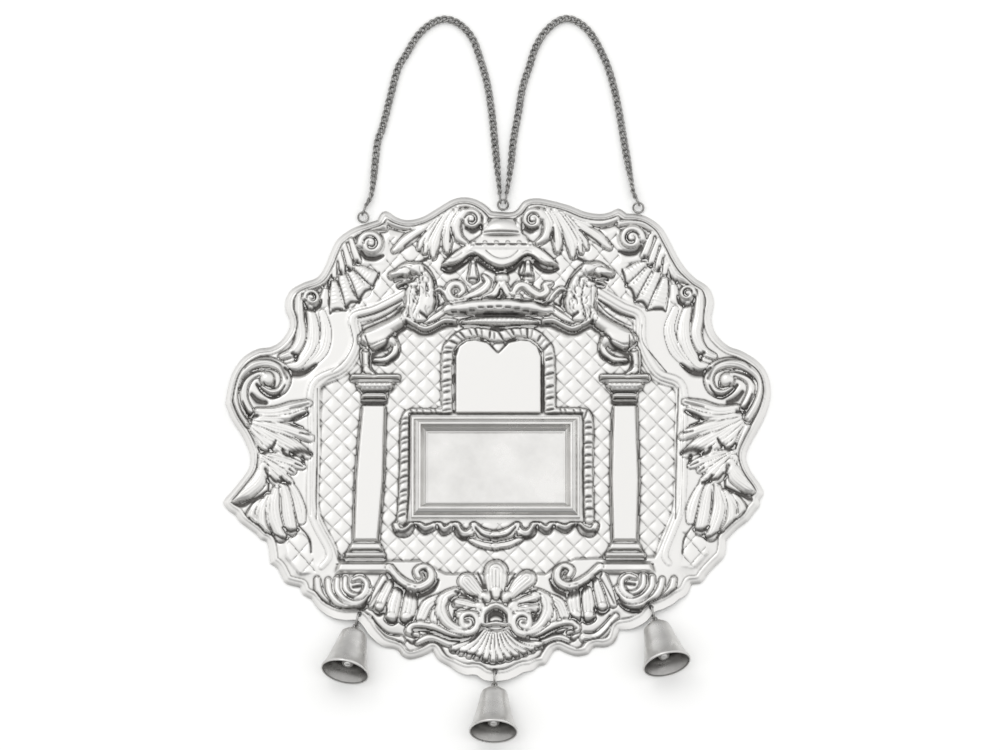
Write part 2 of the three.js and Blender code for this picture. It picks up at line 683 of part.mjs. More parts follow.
// A solid skinned over sections of equal point counts, closed on itself or capped at both ends
function skinned(sections, closed) {
  const size = sections[0].length;
  const positions = sections.flat().flatMap((p) => [p.x, p.y, p.z]);
  const index = [];
  const last = closed ? sections.length : sections.length - 1;
  for (let i = 0; i < last; i += 1) {
    const next = (i + 1) % sections.length;
    for (let j = 0; j < size; j += 1) {
      const side = (j + 1) % size;
      const [a, b, c, d] = [i * size + j, i * size + side, next * size + side, next * size + j];
      index.push(a, b, c, a, c, d);
    }
  }
  if (!closed) {
    const end = (sections.length - 1) * size;
    for (let j = 1; j < size - 1; j += 1) {
      index.push(0, j + 1, j, end, end + j, end + j + 1);
    }
  }
  const geometry = new THREE.BufferGeometry();
  geometry.setAttribute('position', new THREE.Float32BufferAttribute(positions, 3));
  geometry.setIndex(index);
  return outward(geometry);
}

// Turns the faces out where they point in
function outward(geometry) {
  const { position } = geometry.attributes;
  const index = geometry.index.array;
  const corner = (i) => new THREE.Vector3().fromBufferAttribute(position, index[i]);
  let volume = 0;
  for (let i = 0; i < index.length; i += 3) {
    volume += corner(i).dot(corner(i + 1).cross(corner(i + 2)));
  }
  if (volume < 0) {
    for (let i = 0; i < index.length; i += 3) {
      [index[i + 1], index[i + 2]] = [index[i + 2], index[i + 1]];
    }
  }
  return geometry;
}

// Plaque frame: one moulding, mitred at four corners, and the plaque that its lip holds

const rebateShare = 0.6;
const lipShare = 0.22;
const mouldingShares = [[0, 0], [0, 0.66], [0.1, 0.86], [0.22, 1], [0.4, 1], [0.56, 0.74], [0.74, 0.68],
  [1, 0.36], [1, lipShare], [rebateShare, lipShare], [rebateShare, 0]];

function frameGeometry() {
  const corners = [[-1, -1], [1, -1], [1, 1], [-1, 1]];
  return skinned(corners.map(([sideX, sideY]) => mouldingShares.map(([inward, rise]) => new THREE.Vector3(
    sideX * (frameWidth / 2 - inward * frameMouldingWidth),
    sideY * (frameHeight / 2 - inward * frameMouldingWidth),
    rise * frameMouldingHeight,
  ))), true);
}

const frameCentre = place(frameCentrePixel);
const frameSeat = frameBedHeight + seatGap;
addPiece('plaque_frame', frameGeometry(), silver).position.set(frameCentre.x, frameCentre.y, frameSeat);

const lipHeight = lipShare * frameMouldingHeight;
const plaqueSide = (side) => side - 2 * rebateShare * frameMouldingWidth - 2 * seatGap;
const plaqueDepth = Math.min(plaqueThickness, lipHeight - seatGap);
const plaqueGeometry = new THREE.BoxGeometry(plaqueSide(frameWidth), plaqueSide(frameHeight), plaqueDepth);
addPiece('plaque_plate', plaqueGeometry, silver)
  .position.set(frameCentre.x, frameCentre.y, frameSeat + plaqueDepth / 2);

// Eyes along the top rim

const ringSides = 6;
const ringSteps = 16;
const bellRingSteps = 18;

function eyeCentre(pixel) {
  const spot = place(pixel);
  return new THREE.Vector3(spot.x, spot.y, eyeWire + eyeRadius * Math.sin(eyeTilt));
}

for (const [name, pixel] of [['left_eye', leftEyePixel], ['centre_eye', centreEyePixel],
  ['right_eye', rightEyePixel]]) {
  const eye = addPiece(name, new THREE.TorusGeometry(eyeRadius, eyeWire, ringSides, ringSteps), silver);
  eye.position.copy(eyeCentre(pixel));
  eye.rotation.x = eyeTilt;
}

// Chains. Each ends in two upright links that hang on the eyes.

function bearingOn(pixel, sideways) {
  const along = Math.sqrt(eyeRadius ** 2 - sideways ** 2);
  return eyeCentre(pixel)
    .add(new THREE.Vector3(sideways, along * Math.cos(eyeTilt), along * Math.sin(eyeTilt)));
}

// An upright link with round ends, in local axes: +X along the chain, +Z up, the eye at the origin
const bendSteps = 6;

function endLinkGeometry() {
  const bend = endLinkRise / 2;
  const centre = [-endLinkBearing + bend, endLinkLength - endLinkBearing - bend];
  const sections = [];
  for (const [end, turn] of [[1, -0.5], [0, 0.5]]) {
    for (let i = 0; i <= bendSteps; i += 1) {
      const angle = (turn + i / bendSteps) * Math.PI;
      const out = new THREE.Vector3(Math.cos(angle), 0, Math.sin(angle));
      const middle = out.clone().multiplyScalar(bend).add(new THREE.Vector3(centre[end], 0, 0));
      sections.push(Array.from({ length: ringSides }, (_, j) => {
        const around = j / ringSides * 2 * Math.PI;
        return middle.clone().addScaledVector(out, endLinkWire * Math.cos(around))
          .add(new THREE.Vector3(0, endLinkWire * Math.sin(around), 0));
      }));
    }
  }
  return skinned(sections, true);
}

const endLinkLiftShare = 1.05;
const endLinkHeight = endLinkRise / 2 + endLinkLiftShare * endLinkWire;

function addEndLink(name, bearing, towards) {
  const link = addPiece(name, endLinkGeometry(), darkSteel);
  link.position.set(bearing.x, bearing.y, endLinkHeight);
  link.rotation.z = Math.atan2(towards.y - bearing.y, towards.x - bearing.x);
}

// The chain's links as one beaded band: wide at each link, narrow where two links meet.
// Its ends stand on edge, and between them it lies flat.
const chainCorners = [[1, 1], [-1, 1], [-1, -1], [1, -1]];
const narrowShare = 0.62;
const chainSideShare = 0.85;
const chainEdgeShare = 0.6;

function chainGeometry(outerEnd, innerEnd, route) {
  const curve = new THREE.CatmullRomCurve3([outerEnd, ...route, innerEnd]
    .map((p) => new THREE.Vector3(p.x, p.y, 0)), false, 'centripetal');
  const length = curve.getLength();
  const linkCount = Math.round(length / chainPitch);
  const sections = [];
  for (let i = 0; i <= linkCount * 2; i += 1) {
    const share = i / (linkCount * 2);
    const fromEnd = Math.min(share, 1 - share) * length;
    const twist = Math.PI / 2 * (1 - THREE.MathUtils.smoothstep(fromEnd, 0, chainTwistLength));
    const size = i % 2 ? 1 : narrowShare;
    const middle = curve.getPointAt(share);
    const along = curve.getTangentAt(share);
    const across = new THREE.Vector3(-along.y, along.x, 0);
    const up = new THREE.Vector3(0, 0, 1);
    const wide = chainWidth / 2;
    const thick = chainThickness / 2;
    middle.z = wide * Math.sin(twist) + thick * Math.cos(twist);
    sections.push(chainCorners.map(([side, edge]) => {
      const flatwise = side * wide * size * chainSideShare;
      const edgewise = edge * thick * chainEdgeShare;
      return middle.clone()
        .addScaledVector(across, flatwise * Math.cos(twist) - edgewise * Math.sin(twist))
        .addScaledVector(up, flatwise * Math.sin(twist) + edgewise * Math.cos(twist));
    }));
  }
  return skinned(sections, false);
}

const leftRoutePixels = [[371.5, 190], [376.7, 142.9], [381.8, 126.5], [390, 93.9], [397, 67.3], [405, 53],
  [417.6, 32.7], [431.8, 20.4], [446, 16.3], [460.4, 22.4], [472.7, 36.7], [480.8, 59.2], [487, 81.6],
  [491, 106], [493.5, 128], [496, 151], [498.6, 177]];
const rightRoutePixels = [[633.5, 190], [625.7, 146.9], [619.6, 110.2], [613.5, 81.6], [605.3, 57],
  [591, 30.6], [574.7, 17.3], [560.4, 17.3], [546, 28.6], [535.9, 44.9], [529.8, 63.3], [522.7, 85.7],
  [518.6, 110.2], [513.5, 138.8], [510.8, 162], [508.8, 177]];

function addChain(side, eyePixel, sideways, routePixels) {
  const route = routePixels.map(place);
  const outer = bearingOn(eyePixel, 0);
  const inner = bearingOn(centreEyePixel, sideways);
  const reach = endLinkLength - endLinkBearing + endLinkWire + seatGap;
  const ends = [[outer, route[0]], [inner, route.at(-1)]].map(([bearing, next]) => {
    const from = new THREE.Vector2(bearing.x, bearing.y);
    return from.clone().add(next.clone().sub(from).setLength(reach));
  });
  addPiece(`${side}_chain`, chainGeometry(ends[0], ends[1], route), darkSteel);
  addEndLink(`${side}_chain_outer_link`, outer, route[0]);
  addEndLink(`${side}_chain_inner_link`, inner, route.at(-1));
}

addChain('left', leftEyePixel, -endLinkSpread, leftRoutePixels);
addChain('right', rightEyePixel, endLinkSpread, rightRoutePixels);

// Bells. Each hangs by a staple from a ring through the rim, and lies on its shoulder and mouth.

// The bell's outside, as shares of the mouth's radius and of the length from the crown
const bellProfileShares = [[0.31, 0], [0.33, 0.03], [0.47, 0.085], [0.56, 0.165], [0.625, 0.29],
  [0.745, 0.54], [0.82, 0.71], [0.91, 0.86], [1, 0.95], [1, 1]];
const shoulderIndex = 3;
const lipIndex = 8;
const bellSides = 16;
const crownWallShare = 1.4;
const crownWall = crownWallShare * bellWall;

function bellGeometry() {
  const outside = bellProfileShares.map(([radius, along]) => new THREE.Vector2(
    radius * bellMouthRadius,
    along * bellLength,
  ));
  const inside = outside.slice(2)
    .map((p) => new THREE.Vector2(p.x - bellWall, Math.min(p.y + bellWall / 2, bellLength)));
  const profile = [new THREE.Vector2(crownHoleRadius, 0), ...outside, ...inside.slice(0, -1).reverse(),
    new THREE.Vector2(crownHoleRadius, crownWall)];
  profile.push(profile[0].clone());
  const turned = new THREE.LatheGeometry(profile, bellSides);
  turned.deleteAttribute('normal');
  turned.deleteAttribute('uv');
  return outward(mergeVertices(turned));
}

const [[shoulderRadius, shoulderAlong], [lipRadius, lipAlong]] = [shoulderIndex, lipIndex]
  .map((row) => [bellProfileShares[row][0] * bellMouthRadius, bellProfileShares[row][1] * bellLength]);
const bellTilt = Math.atan2(lipRadius - shoulderRadius, lipAlong - shoulderAlong);
const crownHeight = lipRadius * Math.cos(bellTilt) - lipAlong * Math.sin(bellTilt);
const crownDistance = stapleRadius + stapleWire + seatGap;
const ringHeight = bellRingRadius + bellRingWire;
const holeHeight = ringPassLift + sheetThickness / 2;
const holeOffset = Math.sqrt(bellRingRadius ** 2 - (ringHeight - holeHeight) ** 2);
const stapleRise = crownHeight - crownDistance * Math.sin(bellTilt) - ringHeight;
const stapleAngle = Math.asin(stapleRise / bellRingRadius);

// The staple's wire in the bell's axes: an outer loop on the ring, a shank and an inner loop
const loopSides = 6;
const loopSteps = 12;
const stemSides = 8;

function wireLoop() {
  return new THREE.TorusGeometry(stapleRadius, stapleWire, loopSides, loopSteps);
}

function stapleGeometry() {
  const innerLoop = crownWall + seatGap + stapleWire + stapleRadius;
  const outerLoop = -crownDistance;
  const loops = [outerLoop, innerLoop].map((along) => wireLoop().translate(0, along, 0));
  const shankLength = innerLoop - outerLoop - 2 * stapleRadius;
  const shank = new THREE.CylinderGeometry(stapleWire, stapleWire, shankLength, stemSides)
    .translate(0, (innerLoop + outerLoop) / 2, 0);
  return { geometry: joined(...loops, shank), pivot: innerLoop + stapleRadius };
}

const staple = stapleGeometry();

// The clapper hangs on the staple's inner loop. Its eye is at the origin and its drop is along +Y.
const dropShares = [[0, -1], [0.55, -0.86], [0.92, -0.4], [1, 0.1], [0.8, 0.62], [0.42, 0.9], [0, 1]];

function clapperGeometry() {
  const eye = wireLoop().rotateY(Math.PI / 2);
  const drop = new THREE.LatheGeometry(dropShares.map(([radius, along]) => new THREE.Vector2(
    radius * clapperDropRadius,
    clapperLength + along * clapperDropRadius,
  )), loopSteps);
  const stem = new THREE.CylinderGeometry(clapperWire, clapperWire, clapperLength - stapleRadius, stemSides)
    .translate(0, (clapperLength + stapleRadius) / 2, 0);
  return joined(eye, stem, drop);
}

function insideRadiusAt(along) {
  const share = along / bellLength;
  const above = bellProfileShares.findIndex((row) => row[1] >= share);
  const [low, high] = [bellProfileShares[above - 1], bellProfileShares[above]];
  return THREE.MathUtils.mapLinear(share, low[1], high[1], low[0], high[0]) * bellMouthRadius - bellWall;
}

// The clapper rests in the bell's side a little before the drop's own place
const clapperRestShare = 0.8;
const clapperRest = insideRadiusAt(staple.pivot + clapperRestShare * clapperLength);
const clapperDroop = Math.asin((clapperRest - clapperDropRadius - seatGap * 2) / clapperLength);

function addBell(side, holePixel, heading) {
  const hole = place(holePixel);
  const set = new THREE.Group();
  set.position.set(hole.x, hole.y, 0);
  set.rotation.z = heading;
  const ringGeometry = new THREE.TorusGeometry(bellRingRadius, bellRingWire, ringSides, bellRingSteps);
  const ring = addPiece(`${side}_bell_ring`, ringGeometry, silver);
  ring.rotation.y = Math.PI / 2;
  ring.position.set(0, -holeOffset, ringHeight);
  const hung = new THREE.Group();
  const hang = bellRingRadius * Math.cos(stapleAngle) + crownDistance * Math.cos(bellTilt);
  hung.position.set(0, -holeOffset - hang, crownHeight);
  hung.rotation.x = Math.PI - bellTilt;
  const bell = addPiece(`${side}_bell`, bellGeometry(), satinSilver);
  const wire = addPiece(`${side}_bell_staple`, staple.geometry, silver);
  const clapper = addPiece(`${side}_clapper`, clapperGeometry(), satinSilver);
  clapper.position.y = staple.pivot;
  clapper.rotation.x = clapperDroop;
  hung.add(bell, wire, clapper);
  set.add(ring, hung);
  shield.add(set);
}

addBell('left', leftHolePixel, leftBellHeading);
addBell('centre', centreHolePixel, centreBellHeading);
addBell('right', rightHolePixel, rightBellHeading);

// The origin is under the middle of the whole object, on the surface that it lies on
const whole = new THREE.Box3().setFromObject(shield, true);
const middle = whole.getCenter(new THREE.Vector3());
shield.position.set(-middle.x, -middle.y, -whole.min.z);

export default shield;
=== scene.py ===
"""Torah shield: an embossed silver sheet with a framed plaque, two curb chains and three bells."""

import json
import math

import bpy
import numpy as np
from bpy.props import FloatProperty, FloatVectorProperty, PointerProperty
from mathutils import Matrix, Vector


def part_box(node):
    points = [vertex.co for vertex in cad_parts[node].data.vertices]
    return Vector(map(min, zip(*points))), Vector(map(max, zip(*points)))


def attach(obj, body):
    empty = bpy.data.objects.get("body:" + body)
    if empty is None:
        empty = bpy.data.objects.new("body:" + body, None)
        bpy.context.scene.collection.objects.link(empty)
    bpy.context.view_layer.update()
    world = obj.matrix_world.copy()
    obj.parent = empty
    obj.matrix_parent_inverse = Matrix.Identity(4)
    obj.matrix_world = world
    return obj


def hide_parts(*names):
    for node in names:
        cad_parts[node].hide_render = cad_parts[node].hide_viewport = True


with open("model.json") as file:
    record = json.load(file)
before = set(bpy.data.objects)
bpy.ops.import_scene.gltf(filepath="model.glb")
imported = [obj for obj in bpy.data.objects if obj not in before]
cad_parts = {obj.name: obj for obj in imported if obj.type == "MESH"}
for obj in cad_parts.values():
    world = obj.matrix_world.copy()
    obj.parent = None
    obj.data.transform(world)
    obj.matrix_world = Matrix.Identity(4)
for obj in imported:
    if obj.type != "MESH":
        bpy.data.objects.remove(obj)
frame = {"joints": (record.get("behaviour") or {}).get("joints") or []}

bl_info = {
    "name": "Torah Shield",
    "version": (1, 0, 0),
    "blender": (4, 5, 0),
    "location": "View3D > Sidebar > Torah Shield",
    "description": "Embossed silver shield with a framed plaque, curb chains and bells",
    "category": "Add Mesh",
}

MM = 0.001
SIDES = ("left", "centre", "right")

# Outermost points of the sheet in the drawing, in pixels
LEFT_PIXEL = 224.2
RIGHT_PIXEL = 770.4
TOP_PIXEL = 197.0
BOTTOM_PIXEL = 680.5

sheet_low, sheet_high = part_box("shield_plate")
PIXEL_X = (sheet_high.x - sheet_low.x) / (RIGHT_PIXEL - LEFT_PIXEL)
PIXEL_Y = (sheet_high.y - sheet_low.y) / (BOTTOM_PIXEL - TOP_PIXEL)
CAMERA_TILT = math.acos(PIXEL_X / PIXEL_Y)


# A distance past any on the sheet, and a number too small to matter that keeps a divisor from zero
FAR = 1e9
TINY = 1e-12


# Small helpers

def linear(hex_colour):
    """Linear RGB of an sRGB hex colour."""
    values = [int(hex_colour[i:i + 2], 16) / 255 for i in (1, 3, 5)]
    return [v / 12.92 if v <= 0.04045 else ((v + 0.055) / 1.055) ** 2.4 for v in values]


def colour(name, description, hex_colour):
    return FloatVectorProperty(name=name, description=description, default=linear(hex_colour),
                               subtype="COLOR", size=3, min=0, max=1)


def length(name, description, millimetres, **limits):
    return FloatProperty(name=name, description=description, default=millimetres * MM, unit="LENGTH",
                         precision=5, **limits)


def joint(name):
    """Place and axis of a joint of the model."""
    found = next(j for j in frame["joints"] if j["name"] == name)
    return Vector(found["pos_m"]), Vector(found["axis"]).normalized()


def on_sheet(pixel, height=0.0):
    """A drawing point as a place on the sheet, in metres."""
    return Vector((sheet_low.x + (pixel[0] - LEFT_PIXEL) * PIXEL_X,
                   sheet_low.y + (BOTTOM_PIXEL - pixel[1]) * PIXEL_Y, height))


def add_mesh(name, points, faces, material, body, replaced=(), smooth=True):
    """A mesh piece that rides on a body and stands for the CAD nodes that it replaces."""
    mesh = bpy.data.meshes.new(name)
    mesh.from_pydata([tuple(p) for p in points], [], [tuple(f) for f in faces])
    mesh.validate()
    mesh.polygons.foreach_set("use_smooth", [smooth] * len(mesh.polygons))
    mesh.materials.append(material)
    piece = bpy.data.objects.new(name, mesh)
    bpy.context.collection.objects.link(piece)
    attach(piece, body)
    if replaced:
        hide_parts(*replaced)
    return piece


def smooth_curve(points, per_span):
    """Points of a Catmull-Rom curve through the given ones."""
    p = np.array(points, float)
    padded = np.vstack([p[0], p, p[-1]])
    t = np.linspace(0, 1, per_span, endpoint=False)[:, None]
    spans = []
    for a, b, c, d in zip(padded, padded[1:], padded[2:], padded[3:]):
        spans.append(0.5 * (2 * b + (c - a) * t + (2 * a - 5 * b + 4 * c - d) * t ** 2
                            + (3 * b - a - 3 * c + d) * t ** 3))
    return np.vstack([*spans, p[-1:]])


def even_curve(points, count):
    """The same curve, as points at even distances."""
    fine = smooth_curve(points, 24)
    gone = np.concatenate([[0], np.cumsum(np.linalg.norm(np.diff(fine, axis=0), axis=1))])
    wanted = np.linspace(0, gone[-1], count)
    return np.stack([np.interp(wanted, gone, fine[:, k]) for k in range(fine.shape[1])], axis=1)


def ring_faces(rows, sides, closed_rows=True, closed_sides=True):
    """Quads between rows of points, each row with the same number of sides."""
    faces = []
    for i in range(rows if closed_rows else rows - 1):
        for j in range(sides if closed_sides else sides - 1):
            a, b = i * sides, (i + 1) % rows * sides
            k = (j + 1) % sides
            faces.append((a + j, a + k, b + k, b + j))
    return faces


def circle(centre, radius, first, second, steps):
    """Points round a centre, from one direction towards another."""
    return [centre + radius * (math.cos(a) * first + math.sin(a) * second)
            for a in np.linspace(0, 2 * math.pi, steps, endpoint=False)]


def wire(route, radius, sides, closed):
    """Points and faces of a wire along a route. A closed route joins its end to its start."""
    route = np.array(route, float)
    count = len(route)
    if closed:
        tangents = np.roll(route, -1, axis=0) - np.roll(route, 1, axis=0)
    else:
        tangents = np.gradient(route, axis=0)
    tangents /= np.linalg.norm(tangents, axis=1)[:, None]
    normal = np.cross(tangents[0], [0.31, 0.17, 0.93])
    normal /= np.linalg.norm(normal)
    normals = []
    for tangent in tangents:
        normal = normal - tangent * (normal @ tangent)
        normal /= np.linalg.norm(normal)
        normals.append(normal)
    normals = np.array(normals)
    if closed:
        last = normals[-1] - tangents[0] * (normals[-1] @ tangents[0])
        gap = math.atan2(np.cross(last, normals[0]) @ tangents[0], last @ normals[0])
    else:
        gap = 0.0
    points = []
    for i in range(count):
        side = np.cross(tangents[i], normals[i])
        turn = gap * i / count
        for j in range(sides):
            around = 2 * math.pi * j / sides + turn
            points.append(route[i] + radius * (math.cos(around) * normals[i] + math.sin(around) * side))
    faces = ring_faces(count, sides, closed_rows=closed)
    if not closed:
        faces += [tuple(range(sides))[::-1], tuple(range((count - 1) * sides, count * sides))]
    return points, faces


def together(parts):
    """Several lists of points and faces as one."""
    points, faces = [], []
    for some_points, some_faces in parts:
        faces += [tuple(i + len(points) for i in face) for face in some_faces]
        points += [Vector(p) for p in some_points]
    return points, faces


def turned(profile, steps, centre, axis, across):
    """A profile of (radius, distance along the axis) turned round the axis."""
    other = axis.cross(across)
    points = []
    for i in range(steps):
        angle = 2 * math.pi * i / steps
        out = across * math.cos(angle) + other * math.sin(angle)
        points += [centre + axis * along + out * radius for radius, along in profile]
    return points, ring_faces(steps, len(profile), closed_sides=False)


# Materials

def add_node(tree, kind, values=None, **settings):
    """A node with its settings, whose values are numbers, colours or links from other nodes' sockets."""
    node = tree.nodes.new(kind)
    for name, value in settings.items():
        setattr(node, name, value)
    for name, value in (values or {}).items():
        socket = node.inputs[name]
        if isinstance(value, bpy.types.NodeSocket):
            tree.links.new(value, socket)
        elif isinstance(value, (list, tuple)) and len(value) == 3 and socket.type == "RGBA":
            socket.default_value = (*value, 1.0)
        else:
            socket.default_value = value
    return node


def new_material(name):
    material = bpy.data.materials.new(name)
    material.use_nodes = True
    material.node_tree.nodes.clear()
    return material, material.node_tree


def finish_material(tree, shader):
    add_node(tree, "ShaderNodeOutputMaterial", {"Surface": shader.outputs["BSDF"]})


def ramp(tree, factor, stops):
    """A colour ramp with its stops, as pairs of place and grey or colour."""
    node = add_node(tree, "ShaderNodeValToRGB", {"Fac": factor})
    elements = node.color_ramp.elements
    while len(elements) < len(stops):
        elements.new(1.0)
    for element, (place, value) in zip(elements, stops):
        element.position = place
        element.color = (*value, 1.0) if isinstance(value, (list, tuple)) else (value, value, value, 1.0)
    return node.outputs["Color"]


def per_mm(size_mm):
    """Texture scale that makes one repeat about this long, in metres of object space."""
    return 1.0 / (size_mm * MM)


def chased_silver(colours):
    """Silver sheet, chased by hand and polished, with dark tarnish and painted shade in the hollows.

    The metal is nearly white and mirror-like on the raised parts. Polishing never reaches the
    hollows, so they are grey and less glossy, partly patina and partly painted shade, and the hammer leaves a
    faint unevenness."""
    material, tree = new_material("chased_silver")
    place = add_node(tree, "ShaderNodeTexCoord").outputs["Object"]
    patina_and_shade = add_node(tree, "ShaderNodeAttribute", attribute_name="patina_and_shade").outputs["Fac"]
    blotches = add_node(tree, "ShaderNodeTexNoise", {"Vector": place, "Scale": per_mm(18), "Detail": 4.0,
                                                    "Roughness": 0.6}).outputs["Fac"]
    specks = add_node(tree, "ShaderNodeTexNoise", {"Vector": place, "Scale": per_mm(1.6), "Detail": 3.0,
                                                  "Roughness": 0.7}).outputs["Fac"]
    speckled_patina_and_shade = add_node(tree, "ShaderNodeMath", {0: specks, 1: 0.35, 2: patina_and_shade}, operation="MULTIPLY_ADD")
    speckled_patina_and_shade = add_node(tree, "ShaderNodeMath", {0: speckled_patina_and_shade.outputs[0], 1: 0.175}, operation="SUBTRACT")
    # Ramp from silver to the dark colour: the dark end is patina and painted shade in the hollows and chased lines
    tint = ramp(tree, speckled_patina_and_shade.outputs[0], [(0.12, list(colours.silver)), (0.5, list(colours.dull_silver)),
                                          (1.0, list(colours.tarnish_and_shade))])
    gloss = ramp(tree, speckled_patina_and_shade.outputs[0], [(0.1, 0.34), (0.6, 0.42), (1.0, 0.58)])
    gloss = add_node(tree, "ShaderNodeMath", {0: blotches, 1: 0.16, 2: gloss}, operation="MULTIPLY_ADD")
    gloss = add_node(tree, "ShaderNodeMath", {0: gloss.outputs[0], 1: 0.08}, operation="SUBTRACT")
    dents = add_node(tree, "ShaderNodeTexNoise", {"Vector": place, "Scale": per_mm(5), "Detail": 2.0})
    hammer = add_node(tree, "ShaderNodeBump", {"Height": dents.outputs["Fac"], "Strength": 0.35,
                                              "Distance": 0.12 * MM})
    grain = add_node(tree, "ShaderNodeBump", {"Height": specks, "Strength": 0.25, "Distance": 0.02 * MM,
                                             "Normal": hammer.outputs["Normal"]})
    shader = add_node(tree, "ShaderNodeBsdfPrincipled", {"Base Color": tint, "Metallic": 1.0,
                                                        "Roughness": gloss.outputs[0],
                                                        "Normal": grain.outputs["Normal"]})
    finish_material(tree, shader)
    return material


def plain_silver(name, tint, dark, low_gloss, high_gloss, patch_mm, dent_mm, dent_depth_mm, hollow=None):
    """Silver worked smooth. Handling wears it bright, and the rest keeps a thin, patchy tarnish.

    Where a hollow colour is given, points marked as shaded inside take it, as painted shade."""
    material, tree = new_material(name)
    place = add_node(tree, "ShaderNodeTexCoord").outputs["Object"]
    patches = add_node(tree, "ShaderNodeTexNoise", {"Vector": place, "Scale": per_mm(patch_mm), "Detail": 5.0,
                                                   "Roughness": 0.62}).outputs["Fac"]
    scuffs = add_node(tree, "ShaderNodeTexNoise", {"Vector": place, "Scale": per_mm(dent_mm), "Detail": 3.0,
                                                  "Roughness": 0.6}).outputs["Fac"]
    worn = ramp(tree, patches, [(0.3, dark), (0.62, tint)])
    # Painted shade inside the bells: the hollow colour, by the mark that each bell carries
    if hollow:
        inside = add_node(tree, "ShaderNodeAttribute", attribute_name="painted_shade_inside").outputs["Fac"]
        worn = add_node(tree, "ShaderNodeMix", {0: inside, 6: worn, 7: (*hollow, 1)},
                        data_type="RGBA").outputs[2]
    gloss = ramp(tree, patches, [(0.3, high_gloss), (0.7, low_gloss)])
    bump = add_node(tree, "ShaderNodeBump", {"Height": scuffs, "Strength": 0.4,
                                            "Distance": dent_depth_mm * MM})
    shader = add_node(tree, "ShaderNodeBsdfPrincipled", {"Base Color": worn, "Metallic": 1.0,
                                                        "Roughness": gloss,
                                                        "Normal": bump.outputs["Normal"]})
    finish_material(tree, shader)
    return material


def drawn_wire(colours):
    """Drawn silver wire for the eyes, rings and staples, dulled by handling and darker in random patches."""
    return plain_silver("drawn_silver_wire", list(colours.dull_silver), list(colours.tarnish_and_shade),
                        low_gloss=0.22, high_gloss=0.38, patch_mm=3, dent_mm=0.6, dent_depth_mm=0.02)


def frame_silver(colours):
    """Silver strip, planed and mitred for the frame, and the flat plaque, polished with a soft cloth."""
    return plain_silver("polished_silver_strip", list(colours.silver), list(colours.strip),
                        low_gloss=0.24, high_gloss=0.36, patch_mm=22, dent_mm=3, dent_depth_mm=0.06)


def turned_silver(colours):
    """Cast silver, turned and left satin, greyer than the sheet, and painted darker inside the bells as painted
    shade.
    """
    return plain_silver("satin_cast_silver", list(colours.bell), list(colours.dull_bell),
                        low_gloss=0.24, high_gloss=0.36, patch_mm=7, dent_mm=0.5, dent_depth_mm=0.015,
                        hollow=list(colours.tarnish_and_shade))


def dark_chain(colours):
    """Curb chain wire, darkened by tarnish and rubbed bright where the links wear."""
    return plain_silver("darkened_chain_wire", list(colours.chain_worn), list(colours.chain),
                        low_gloss=0.28, high_gloss=0.42, patch_mm=1.5, dent_mm=0.4, dent_depth_mm=0.02)


def floor_paint(colours):
    """Matt white board, as under a product photograph."""
    material, tree = new_material("matt_white_board")
    place = add_node(tree, "ShaderNodeTexCoord").outputs["Object"]
    tooth = add_node(tree, "ShaderNodeTexNoise", {"Vector": place, "Scale": per_mm(2), "Detail": 2.0})
    bump = add_node(tree, "ShaderNodeBump", {"Height": tooth.outputs["Fac"], "Strength": 0.1,
                                            "Distance": 0.05 * MM})
    shader = add_node(tree, "ShaderNodeBsdfPrincipled", {"Base Color": list(colours.floor), "Roughness": 0.9,
                                                        "Normal": bump.outputs["Normal"]})
    finish_material(tree, shader)
    return material


def material_of(maker):
    """The material that a function makes, made once."""
    made = bpy.data.materials.get(maker.__name__)
    if made is None:
        made = maker(bpy.context.scene.shield_colours)
        made.name = maker.__name__
    return made


# Outline of the sheet

